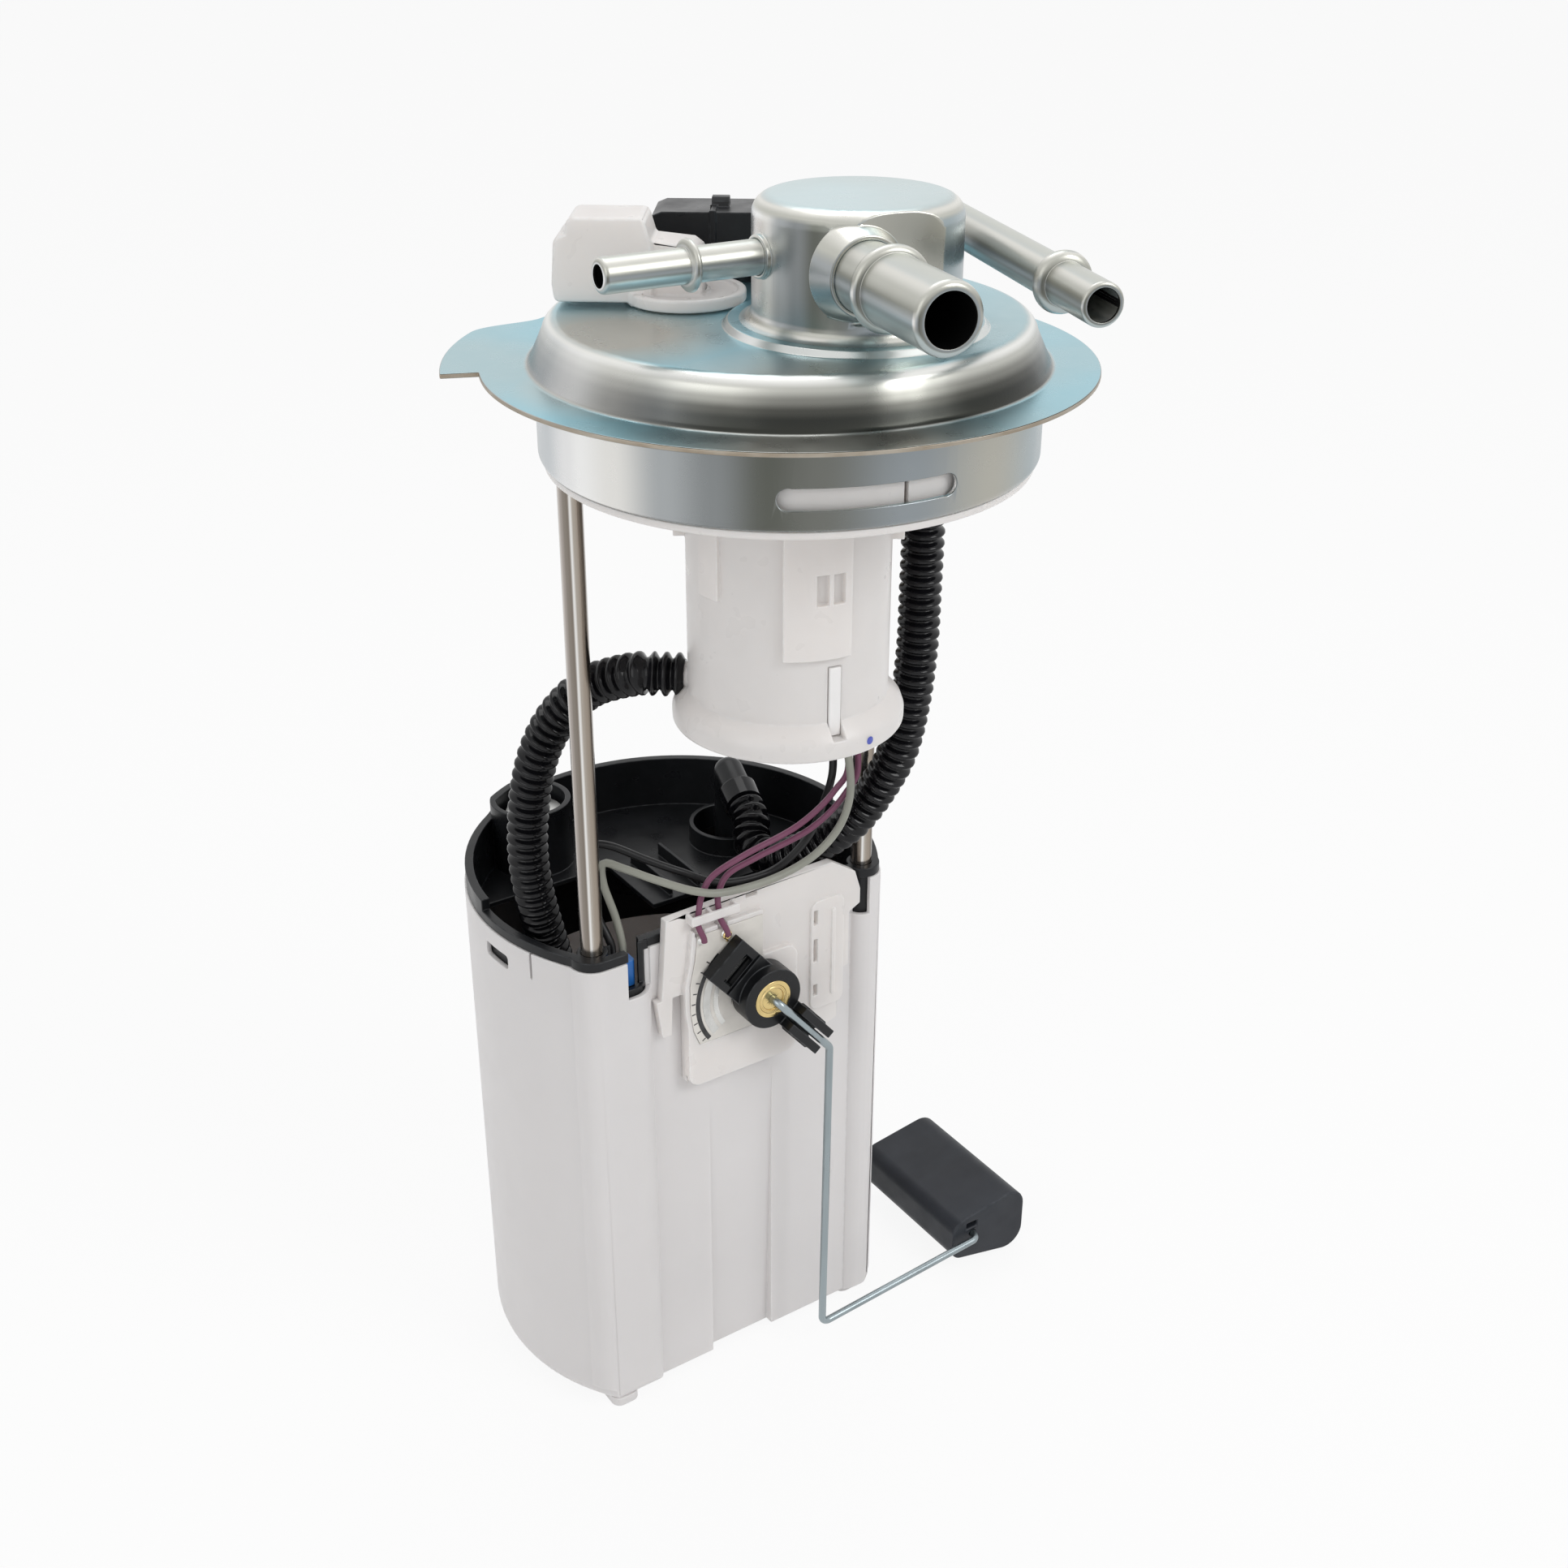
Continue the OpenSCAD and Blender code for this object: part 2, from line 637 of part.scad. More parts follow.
module valve_float() color("#e4e0da") {
  foot = valve_float_foot;
  top = foot + valve_float_h;
  closed = valve_top - 2.2 - float_lift;
  difference() {
    union() {
      rotate_extrude() polygon(concat([[0, foot], [19.2, foot], [20.2, foot + 1]],
        arc([18.2, top - 2], 2, 0, 90, 4), [[0, top]]));
      post(neck_at, neck_r + 0.6, top - 1, closed);
      for (a = [0:60:300]) rotate([0, 0, a])
        translate([18, -1, foot + 2]) cube([5.6, 2, valve_float_h - 6]);
    }
    post([0, 0], 3.4, foot - 1, foot + 22);
  }
}

module guide_rods() color(bright) {
  r = rod_d / 2;
  h = retainer_top - 2 - rod_foot;
  for (p = rods) difference() {
    translate([p[0], p[1], rod_foot]) rotate_extrude()
      polygon([[0, 0], [r - 0.6, 0], [r, 0.6], [r, h], [0, h]]);
    translate([p[0], p[1], stop_z]) rotate([90, 0, 0])
      cylinder(r = stop_r + fit, h = 20, center = true, $fn = 24);
  }
}

module rod_stop_pins() color(bright) {
  for (p = rods) translate([p[0], p[1], stop_z]) rotate([90, 0, 0])
    cylinder(r = stop_r, h = stop_len, center = true, $fn = 24);
}

// Reservoir
module cup_outline(d) {
  intersection() {
    translate([0, cup_y]) circle(cup_r - d, $fn = 144);
    translate([-cup_r, flat_y + d]) square([2 * cup_r, 2 * cup_r]);
  }
  translate([-rod_x, rod_y]) circle(left_boss_r - d);
  translate([-rod_x + left_boss_x, rod_y]) circle(left_boss_r - d);
  translate([-rod_x, rod_y - left_boss_r + d]) square([left_boss_x, left_boss_r - d]);
  translate([rod_x, rod_y]) circle(boss_r - d);
}

// Solid of the cup's outside, or of its inside when d is the wall
module cup_body(d, z0, z1) {
  e = cup_edge_r - d;
  h = z1 - z0;
  front = rod_y - left_boss_r + d;
  far = 3 * cup_r;
  intersection() {
    translate([0, 0, z0]) linear_extrude(h) cup_outline(d);
    translate([0, cup_y, z0]) rotate_extrude($fn = 144) polygon(concat(
      [[0, 0]], arc([cup_r - d - e, e], e, -90, 0, 8),
      [[cup_r - d + 2, e + 2], [cup_r - d + 2, h], [0, h]]));
    translate([-far / 2, 0, z0]) rotate([90, 0, 90]) linear_extrude(far) polygon(concat(
      [[far, 0], [far, h], [front, h]], arc([front + e, e], e, 180, 270, 8)));
  }
}

// The tapered recess at the foot of the flat face
module recess(d) {
  top = -224;
  translate([-10.5 - d, 0, 0]) rotate([90, 0, 90]) linear_extrude(22.5 + 2 * d) polygon([
    [0, top + d], [flat_y + d, top + d], [flat_y + d + recess_d, cup_foot], [0, cup_foot]]);
}

module reservoir_cup() color(milky) {
  left_notch_x = -rod_x + 7.2;
  difference() {
    union() {
      difference() {
        cup_body(0, cup_base, rim);
        recess(0);
      }
      for (p = [[-44, 27.5, 9, 10], [44, 30, 8, 8], [-30, 106, 10, 8], [30, 106, 10, 8]])
        translate([p[0], p[1], cup_foot]) slab([p[2], p[3], foot_h + floor_t / 2], 3);
    }
    difference() {
      cup_body(cup_wall, cup_floor, rim + 1);
      recess(cup_wall);
    }
    translate([left_notch_x, 0, -180.6]) cube([9.5, 26, 40]);
    translate([rod_x - 5.7, 0, -181]) cube([4.9, rod_y - 2, 40]);
    translate([0, cup_y, -175.8]) rotate([0, -90, 4.5])
      translate([0, 0, cup_r - 5]) slab([4.4, 11.5, 12], 1);
    translate([0, cup_y, 0]) rotate([0, 0, 198.8])
      translate([cup_r - 4, -0.4, -177]) cube([8, 0.8, 20]);
    for (x = [-12, 12]) translate([x, 0, rim - 5]) cube([3, 40, 8]);
    post([0, cup_y + 4], 5.6, cup_foot - 1, cup_floor + 1);
  }
}

module retainer_insert() color(black) {
  inset = cup_wall + seat;
  difference() {
    union() {
      difference() {
        union() {
          translate([0, 0, rim]) linear_extrude(lip_t) cup_outline(0.5);
          translate([0, 0, rim - liner_depth]) linear_extrude(liner_depth + eps) cup_outline(inset);
        }
        translate([0, 0, rim - liner_depth - 1]) linear_extrude(liner_depth + 10)
          cup_outline(inset + liner_wall);
      }
      for (p = rods) post(p, tube_r, tube_foot, rim + lip_t);
      translate([0, 0, deck_z]) linear_extrude(deck_t) difference() {
        intersection() {
          cup_outline(inset + 0.5);
          union() {
            translate([-8, 60]) square([100, 100]);
            translate([-60, 88]) square([60, 60]);
          }
        }
        translate(port_at) circle(port_r + 7);
        translate(pocket_at) circle(pocket_r - pocket_wall);
      }
      intersection() {
        post(pocket_at, pocket_r, deck_z, pocket_top);
        union() {
          translate([0, 0, deck_z - 1]) linear_extrude(60) cup_outline(inset);
          translate([0, 0, rim]) linear_extrude(60) cup_outline(0.5);
        }
      }
      translate([port_at[0], port_at[1], deck_z]) difference() {
        cylinder(r = port_r + 8.5, h = 8);
        translate([0, 0, -1]) cylinder(r = port_r + 7, h = 12);
      }
      intersection() {
        translate([0, cup_y, rim + lip_t - eps]) difference() {
          cylinder(r = cup_r - 0.5, h = 3.5, $fn = 144);
          translate([0, 0, -1]) cylinder(r = cup_r - inset - liner_wall, h = 8, $fn = 144);
        }
        translate([-80, cup_y + 3.5, rim]) cube([160, 80, 20]);
      }
      for (x = [-1, 9]) translate([x, 62, deck_z + deck_t - eps]) cube([1.2, 24, 4]);
      translate([-42, 24.1, -182.5]) cube([9.5, 12.9, 2.5]);
    }
    for (p = rods) {
      post(p, tube_bore, tube_foot + tube_floor_t, rim + lip_t + 1);
      translate([p[0] - stop_r - 0.15, p[1] - 2 * tube_r, stop_z - stop_r - travel - 2])
        cube([2 * stop_r + 0.3, 4 * tube_r, travel + 2 + 2 * stop_r + fit]);
    }
    intersection() {
      post(pocket_at, pocket_r - pocket_wall, deck_z + 3, pocket_top + 1);
      translate([0, 0, deck_z]) linear_extrude(60) cup_outline(inset + liner_wall);
    }
    translate([-rod_x + 7.2 + 0.6, 0, -178.5]) cube([8, 25, 40]);
  }
}

module return_springs() color(bright) {
  for (p = rods) translate([p[0], p[1], tube_foot + tube_floor_t])
    coil(tube_bore - 0.75, 1, rod_foot - tube_foot - tube_floor_t - 0.05, 16, 10);
}

// Pump
module pump_case() color("#b9bdbf") {
  difference() {
    post(pump_at, pump_r, pump_foot, pump_top);
    post(pump_at, pump_r - case_wall, pump_foot - 1, pump_top + 1);
  }
}

magnet_r = armature_r + 0.6;
module pump_magnets() color("#4a4b4d") {
  translate([pump_at[0], pump_at[1], pump_foot + 12]) difference() {
    cylinder(r = pump_r - case_wall - fit, h = pump_len - 28);
    translate([0, 0, -1]) cylinder(r = magnet_r, h = pump_len);
    for (a = [0, 90]) rotate([0, 0, a]) cube([3, 60, 2 * pump_len], center = true);
  }
}

module pump_outlet_cap() color(black) {
  z = pump_top;
  difference() {
    union() {
      post(pump_at, pump_r - case_wall - fit, z - 9, z + 1);
      post(pump_at, pump_r - 2.5, z, z + 5);
      post(port_at, port_r - 1, z, z + 18);
      translate([pump_at[0] - 10, pump_at[1], z + 4]) slab([7, 10, 9], 1.5);
    }
    post(port_at, port_r - 2.4, z - 10, z + 20);
    post(pump_at, shaft_r + 0.03, z - 10, z - 4);
    for (y = [-7, 7]) post(pump_at + [0, y], 2.4, z - 10, z - 3);
  }
}

module pump_brushes() color("#5b5350") {
  for (y = [-7, 7]) post(pump_at + [0, y], 2.4 - fit, pump_top - 15 + 0.3, pump_top - 3 - fit);
}

module pump_inlet_cap() color("#8d9194") {
  z = pump_foot;
  difference() {
    union() {
      post(pump_at, pump_r - case_wall - fit, z - 1, z + 10);
      post(pump_at, pump_r - 0.6, z - 7, z);
      post(pump_at + [-8, 0], 6, z - 12, z - 6);
    }
    post(pump_at, impeller_r + 0.4, z + 1, z + 5);
    post(pump_at, shaft_r + 0.03, z - 3, z + 11);
    post(pump_at + [-8, 0], 4, z - 13, z + 2);
    post(pump_at + [9, 0], 2.5, z + 4, z + 11);
  }
}

module pump_isolator() color("#26282a") {
  z = pump_foot;
  difference() {
    union() {
      post(pump_at, pump_r + 1.9, z - 9, z + 4);
      for (a = [0, 80, 280]) rotate_about(pump_at, a) translate([12, 0, cup_floor])
        slab([7, 6, z - 8.5 - cup_floor], 2);
    }
    post(pump_at, pump_r + fit, z, z + 6);
    post(pump_at, pump_r - 0.6 + fit, z - 7, z + 1);
    post(pump_at + [-8, 0], 6 + fit, z - 12, z);
  }
}

module rotate_about(at, a) {
  translate([at[0], at[1], 0]) rotate([0, 0, a]) children();
}

module inlet_strainer() color("#d8d6c8") {
  neck = pump_foot - 12;
  difference() {
    union() {
      translate([-2, 74, strainer_z + 3.4]) slab([46, 26, 4], 10);
      post(pump_at + [-8, 0], 7.4, strainer_z + 3.4, neck + 2.9);
    }
    post(pump_at + [-8, 0], 6 + 2 * fit, neck, neck + 6);
    post(pump_at + [-8, 0], 4, strainer_z + 5, neck + 6);
  }
}

module inlet_valve() color("#3a3c3f") {
  at = [0, cup_y + 4];
  post(at, 5.5, cup_base, cup_floor + 0.4);
  post(at, 7.2, cup_floor, cup_floor + 1.2);
}

module jet_pump() color(milky) {
  z = cup_floor;
  difference() {
    union() {
      post(jet_at, 5, z, jet_top - 8.1);
      post(jet_at, spigot_r, z, jet_top);
      translate([jet_at[0], jet_at[1], z + 6]) rotate([0, 90, -50]) cylinder(r = 3.4, h = 26);
      post(jet_at, 8, z, z + 2);
      for (a = [0:90:270]) rotate_about(jet_at, a) translate([0, -0.8, z]) cube([8, 1.6, 14]);
    }
    post(jet_at, spigot_r - 1.2, z + 3, jet_top + 1);
    translate([jet_at[0], jet_at[1], z + 6]) rotate([0, 90, -50]) cylinder(r = 1.8, h = 30);
  }
}

module pressure_regulator() color(bright) {
  r = pocket_r - pocket_wall - 1.2;
  z = deck_z + 3;
  post(pocket_at + [0.5, -1], r - 0.7, z, z + 16.5);
  post(pocket_at + [1, -3], 3, z + 16.5, z + 19);
}

module outlet_elbow() color(black) {
  r = port_r + 0.3;
  difference() {
    union() {
      post(port_at, r, pump_top + 5, elbow_at[2]);
      translate(elbow_at) sphere(r);
      rod_between(elbow_at, elbow_end, r);
    }
    post(port_at, port_r - 1 + fit, pump_top, pump_top + 18);
    post(port_at, port_r - 2, pump_top, elbow_at[2]);
    rod_between(elbow_at, elbow_end + elbow_way, port_r - 2);
  }
}

// Hoses and leads
hose_gap = 0.3;
spigot_way = [cos(spigot_turn), sin(spigot_turn), 0];
feed_route = [
  elbow_end + hose_gap * unit(elbow_way), [28.4, 61.6, -161.5], [24.5, 54.5, -165.6],
  [25, 46.5, -166.3], [29, 38, -162.5], [34.3, 29.8, -155.2], [38.5, 22, -146],
  [42.5, 16.5, -135], [45.5, 11, -121], [47, 8, -104], [47.5, 6.5, -87], [47, 5.5, -70],
  [46.3, 4.3, -48], [feed_at[0], feed_at[1], feed_foot - hose_gap]
];
drain_route = [
  [0, 0, spigot_z] + (spigot_end + hose_gap) * spigot_way,
  [0, 0, spigot_z - 0.15] + (spigot_end + 4.8) * spigot_way, [-33.6, 31.8, -86.6],
  [-37.6, 38.2, -90.5], [-41.5, 44, -97], [-45, 49, -105.5], [-47.8, 52.5, -116],
  [-49.6, 55, -129.5], [-50.4, 56, -146], [-48.6, 57, -161], [-45, 58, -177],
  [-41, 59, -195], [-39.2, 59, -206], [jet_at[0], jet_at[1], jet_top + hose_gap]
];
lead_top = dome_h - sheet_t - 2.2;
purple_a_route = [
  [20, 35.9, lead_top], [24, 36.2, -23.5], [27.2, 31, -60], [30.4, 24, -95], [31, 15, -121],
  [27, 16, -131], [17.5, 20, -141], [0.5, 21.6, -146], [-10, 22.4, -150], [-14, 22, -155],
  [-15.6, 21.3, -160], [-16, 21.2, -163],
  [-15.8, 20.2, -165.2], [-15.2, 19.4, -167], [-15, 19.3, -168.6]
];
purple_b_route = [
  [22.4, 35.3, lead_top], [26.2, 35.4, -23.5], [29.4, 29.6, -60], [32.4, 22.6, -95],
  [33.4, 13.6, -121], [29.6, 14.4, -132], [20.6, 18.6, -142.5], [4, 21.4, -148], [-5, 22.3, -151],
  [-8.6, 21.8, -156], [-9, 21.2, -160.5], [-8.8, 21.15, -163],
  [-8.2, 20.2, -165.2], [-7.4, 19.4, -167.2], [-7, 19.3, -169]
];
grey_route = [
  [18, 33.9, lead_top], [22, 33.6, -23.5], [24.4, 29, -60], [27.6, 21.6, -95], [29, 12, -120],
  [28.5, 12, -136], [22.5, 15.8, -148.5], [9, 17.6, -154], [-8, 17.8, -153.6], [-17, 20.5, -151.8],
  [-26, 27.5, -148.5], [-33, 32.2, -145], [-37.5, 35.5, -143.5], [-37.6, 36, -150],
  [-36, 32.6, -160], [-35.7, 30, -167], [-35.6, 29.7, -171.2]
];
black_route = [
  [18.6, 38.9, lead_top], [22, 38.9, -23.5], [24, 34.6, -60], [27, 27, -95], [28.5, 19, -121],
  [27.5, 22, -138], [24, 26, -151], [14, 28.5, -159], [-2, 30, -158.5], [-14, 33, -152.5],
  [-23, 36.5, -147.5], [-33, 40.5, -141.5], [-39.5, 43, -141], [-42, 42, -147],
  [-40.4, 35.5, -159], [-39, 30.6, -166.5], [-38.9, 30.2, -171.2]
];

// A smooth cuff round a spigot: it runs back from the hose's end p against direction d
module cuff(p, d, bore, back) {
  u = unit(d);
  difference() {
    rod_between(p - u * back, p + u * 1.5, hose_r + 0.3);
    rod_between(p - u * (back + 1), p - u * hose_gap, bore);
  }
}

module feed_hose() color(black) {
  n = len(feed_route);
  corrugated(feed_route, 9);
  cuff(feed_route[0], elbow_way, port_r + 0.3 + fit, 6);
  cuff(feed_route[n - 1], [0, 0, -1], feed_d / 2 + fit, hose_cuff);
}

module drain_hose() color(black) {
  n = len(drain_route);
  corrugated(drain_route, 9);
  cuff(drain_route[0], spigot_way, spigot_r + fit, 3.2);
  cuff(drain_route[n - 1], [0, 0, 1], spigot_r + fit, 8);
}

module purple_leads() color("#7c4a66") {
  lead(purple_a_route, thin_lead_r);
  lead(purple_b_route, thin_lead_r);
}
module grey_lead() color("#a9aba6") lead(grey_route, lead_r);
module black_lead() color("#202224") lead(black_route, lead_r);

module lead_terminal() color("#2b6cb0") {
  translate([-36.8, 28.7, -180]) slab([6.5, 4.4, 8.5], 1);
}

// Sender
module bracket_plate() {
  polygon([[-27.6, -186], [-25.6, -bracket_top - 0.6], [31.5, -bracket_top + 0.6], [40, -164.5],
    [42, -171], [42, -176], [38, -178], [38, -196.5], [34.5, -197], [34, -214], [26, -217],
    [-20, -217], [-20, -186]]);
}

module sender_bracket() color(milky) {
  h = hub;
  difference() {
    union() {
      upright(face_y, bracket_t) bracket_plate();
      upright(face_y, bracket_t)
        polygon([[-27.6, -186], [-24, -186], [-24.6, -198.5], [-27.6, -198.5], [-29.4, -186]]);
      upright(carrier_y, 1.8 + eps) translate([-1, -199.6]) rounded(38, 37.4, 4);
      upright(carrier_y, 1.8 + eps) card_outline(1.6);
      translate([h[0], hub_front + bushing_t + 0.2, h[1]]) rotate([-90, 0, 0])
        cylinder(r = sleeve_r, h = face_y - hub_front - bushing_t - 0.2 + 0.5);
      upright(face_y - 0.8, 0.9) translate([29.6, -189]) rounded(12, 38, 3);
      upright(face_y - 1.4, 0.7) translate([31.5, -189]) rounded(1.4, 30, 0.6);
      translate([-19, face_y - 3.2, -162.6]) cube([16, 1, 2.8]);
      for (x = [-19, -12.5, -4]) translate([x, face_y - 3.2, -162.6]) cube([1, 3.3, 2.8]);
    }
    translate([h[0], 0, h[1]]) rotate([-90, 0, 0]) cylinder(r = sleeve_bore, h = 60);
    difference() {
      upright(card_y - 4, 4) card_outline(0.1);
      translate([h[0], 0, h[1]]) rotate([-90, 0, 0]) cylinder(r = sleeve_r, h = 60);
    }
    upright(face_y - 1, 10) translate([3.1, -bracket_top - 1]) square([4, 1.4], center = true);
    for (x = [-15.7, -8]) upright(carrier_y - 1, 2.9) translate([x, -165.4])
      square([3, 3.6], center = true);
    for (v = [[-178, 5], [-191, 8], [-203, 4]])
      translate([24.6, face_y - 3, v[0]]) cube([1.4, 4, v[1]]);
  }
}

// The ceramic card reaches from the hub to past the outer track, with the terminals on top
module card_outline(gap) {
  translate(hub) polygon([[2, 24 + gap], [-20.2 - gap, 24 + gap], [-21.2 - gap, 16], [-23 - gap, 8],
    [-23 - gap, -1], [-22 - gap, -8], [-20 - gap, -13 - gap], [2, -13 - gap]]);
}

module resistor_card() color("#e9e7df") {
  difference() {
    upright(card_y - card_t, card_t) card_outline(0);
    translate([hub[0], 0, hub[1]]) rotate([-90, 0, 0]) cylinder(r = sleeve_r + 0.1, h = 60);
  }
}

module track(r, w, a0, a1) {
  translate(hub) rotate([0, 0, a0]) rotate_extrude(angle = a1 - a0)
    translate([r - w / 2, 0]) square([w, 0.12]);
}

module card_terminals() color(bright) {
  for (t = [[20.4, 1.3, 130, 214], [17.8, 2.4, 130, 214], [14.6, 1.5, 130, 214]])
    translate([0, card_y - card_t, 0]) rotate([90, 0, 0]) track(t[0], t[1], t[2], t[3]);
  for (p = [[-15, -168.8], [-7, -169.2]]) translate([p[0], card_y - card_t, p[1]]) rotate([90, 0, 0])
    cylinder(r1 = 1.5, r2 = 0.7, h = 0.9, $fn = 24);
}

module hub_turned(a) {
  translate([hub[0], 0, hub[1]]) rotate([0, -a, 0]) children();
}

module wiper_rotor() color(black) {
  y0 = hub_front;
  y1 = hub_back;
  difference() {
    union() {
      translate([hub[0], y0, hub[1]]) rotate([-90, 0, 0]) cylinder(r = hub_r, h = y1 - y0);
      hub_turned(arm_turn) translate([0, y0 + 3.4, -7.5]) cube([21.6, y1 - y0 - 3.4, 15]);
      hub_turned(clip_turn) {
        translate([4, y0 + 1.6, -4.4]) cube([19.6, 3.2, 8.8]);
        for (z = [-4.4, 1.7]) translate([8.8, wire_y - 1.4, z]) cube([15.4, y0 - wire_y + 3.6, 2.7]);
        for (z = [-4.9, 4]) for (x = [12, 18]) translate([x, wire_y + 0.8, z]) cube([3.4, 4, 0.9]);
      }
    }
    translate([hub[0], 0, hub[1]]) rotate([-90, 0, 0]) cylinder(r = sleeve_r + 0.1, h = 60);
    translate([hub[0], y0 - 10, hub[1]]) rotate([-90, 0, 0])
      cylinder(r = bushing_r + fit, h = 10 + bushing_t);
    hub_turned(arm_turn) {
      translate([13.2, 0, -5]) cube([3.6, y1 - 1, 10]);
      translate([12, 0, -8]) cube([0.8, y0 + 4.4, 16]);
    }
    hub_turned(clip_turn) translate([0, wire_y - 2, -wire_d / 2 - 0.02]) cube([40, 4, wire_d + 0.04]);
  }
}

module pivot_bushing() color(brass) {
  translate([hub[0], hub_front, hub[1]]) rotate([-90, 0, 0]) difference() {
    union() {
      cylinder(r = bushing_r, h = bushing_t);
      cylinder(r = shank_r, h = flat_y - hub_front - 0.4);
    }
    translate([0, 0, -1]) cylinder(r = wire_d / 2 + 0.01, h = 30);
    translate([0, 0, -1]) cylinder(r = 3.6, h = 1.5);
    translate([0, 0, -1]) difference() {
      cylinder(r = 4.6, h = 1.25);
      cylinder(r = 4.1, h = 2);
    }
  }
}

module wiper_contacts() color(bright) {
  hub_turned(arm_turn) for (x = [14.6, 17.8, 20.4])
    translate([x - 0.4, hub_back, -5.5]) cube([0.8, card_y - card_t - 0.2 - hub_back, 4.5]);
}

// Points p with each inner corner rounded to radius b
function turn_at(p, i) = acos(unit(p[i] - p[i - 1]) * unit(p[i + 1] - p[i]));
function bend_points(p, i, b) =
  let (u = unit(p[i] - p[i - 1]), v = unit(p[i + 1] - p[i]), a = turn_at(p, i),
    n = unit(v - (u * v) * u))
  [for (k = [0:5]) p[i] - u * b * tan(a / 2) + b * (sin(a * k / 5) * u + (1 - cos(a * k / 5)) * n)];
function rounded_path(p, b) = concat([p[0]],
  [for (i = [1:len(p) - 2]) for (q = bend_points(p, i, b)) q], [p[len(p) - 1]]);

module rod_between(a, b, r) {
  d = b - a;
  translate(a) rotate([0, acos(d[2] / norm(d)), atan2(d[1], d[0])])
    cylinder(r = r, h = norm(d), $fn = 32);
}

module float_wire() color("#8f979c") {
  bend = [hub[0] + wire_bend_at * cos(clip_turn), wire_y, hub[1] + wire_bend_at * sin(clip_turn)];
  p = rounded_path([[hub[0], flat_y - 1.4, hub[1]], [hub[0], wire_y, hub[1]], bend,
    [bend[0] - 1, wire_y, wire_foot], [wire_end[0], wire_y, wire_end[1]],
    [wire_end[0], float_y + 26, wire_end[1]]], 2.6);
  swept(p, [for (i = p) wire_d / 2], 12);
}

module float_block() color("#1c1e20") {
  w = float_w;
  r = 5;
  difference() {
    translate([wire_end[0] - 8.4, 0, wire_end[1] + 9.2]) upright(float_y, float_l) hull() {
      translate([r, -r - 2]) circle(r, $fn = 32);
      translate([r, -float_h + r + 4.5]) circle(r, $fn = 32);
      translate([w - 7, -7 + 0.5]) circle(7, $fn = 32);
      translate([w - 7, -float_h + 7]) circle(7, $fn = 32);
    }
    rod_between([wire_end[0], 0, wire_end[1]], [wire_end[0], float_y + 26.2, wire_end[1]],
      wire_d / 2 + fit);
    translate([wire_end[0] - 2.6, float_y - 1, wire_end[1] + 2.4]) cube([4.4, 7, 2.2]);
  }
}

// Pump rotor
module pump_armature() color("#7b5a3c") {
  z0 = pump_foot + 14;
  z1 = pump_top - 20;
  difference() {
    union() {
      post(pump_at, armature_r, z0, z1);
      post(pump_at, armature_r - 2.4, z1, z1 + 5);
    }
    post(pump_at, shaft_r + fit, z0 - 1, z1 + 6);
    for (a = [0:45:315]) rotate_about(pump_at, a)
      translate([armature_r - 2, -0.9, z0 - 1]) cube([4, 1.8, z1 - z0 + 1]);
  }
}

module pump_shaft() color(bright) {
  post(pump_at, shaft_r, pump_foot - 2.6, pump_top - 4.4);
}

module pump_impeller() color("#3b3c3e") {
  z = pump_foot + 1.3;
  difference() {
    post(pump_at, impeller_r, z, z + 3.4);
    post(pump_at, shaft_r + fit, z - 1, z + 5);
    for (a = [0:20:340]) rotate_about(pump_at, a)
      translate([impeller_r - 2.6, -0.8, z - 1]) cube([4, 1.6, 6]);
  }
}

mounting_flange();
skirt_band();
turret_cup();
vapor_pipe();
vent_pipe();
feed_pipe();
sensor_grommet();
pressure_sensor();
sensor_terminals();
electrical_connector();
connector_pins();
retainer_disc();
valve_housing();
valve_base();
valve_spring();
valve_float();
guide_rods();
rod_stop_pins();
reservoir_cup();
retainer_insert();
return_springs();
pump_case();
pump_magnets();
pump_outlet_cap();
pump_brushes();
pump_inlet_cap();
pump_isolator();
inlet_strainer();
inlet_valve();
jet_pump();
pressure_regulator();
outlet_elbow();
feed_hose();
drain_hose();
purple_leads();
grey_lead();
black_lead();
lead_terminal();
sender_bracket();
resistor_card();
card_terminals();
wiper_rotor();
pivot_bushing();
wiper_contacts();
float_wire();
float_block();
pump_armature();
pump_shaft();
pump_impeller();
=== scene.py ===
"""Fuel pump module: looks, soft lines and studio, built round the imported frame."""

import json
import math

import bmesh
import bpy
from bpy.props import FloatProperty, FloatVectorProperty, IntProperty, PointerProperty
from mathutils import Matrix, Vector


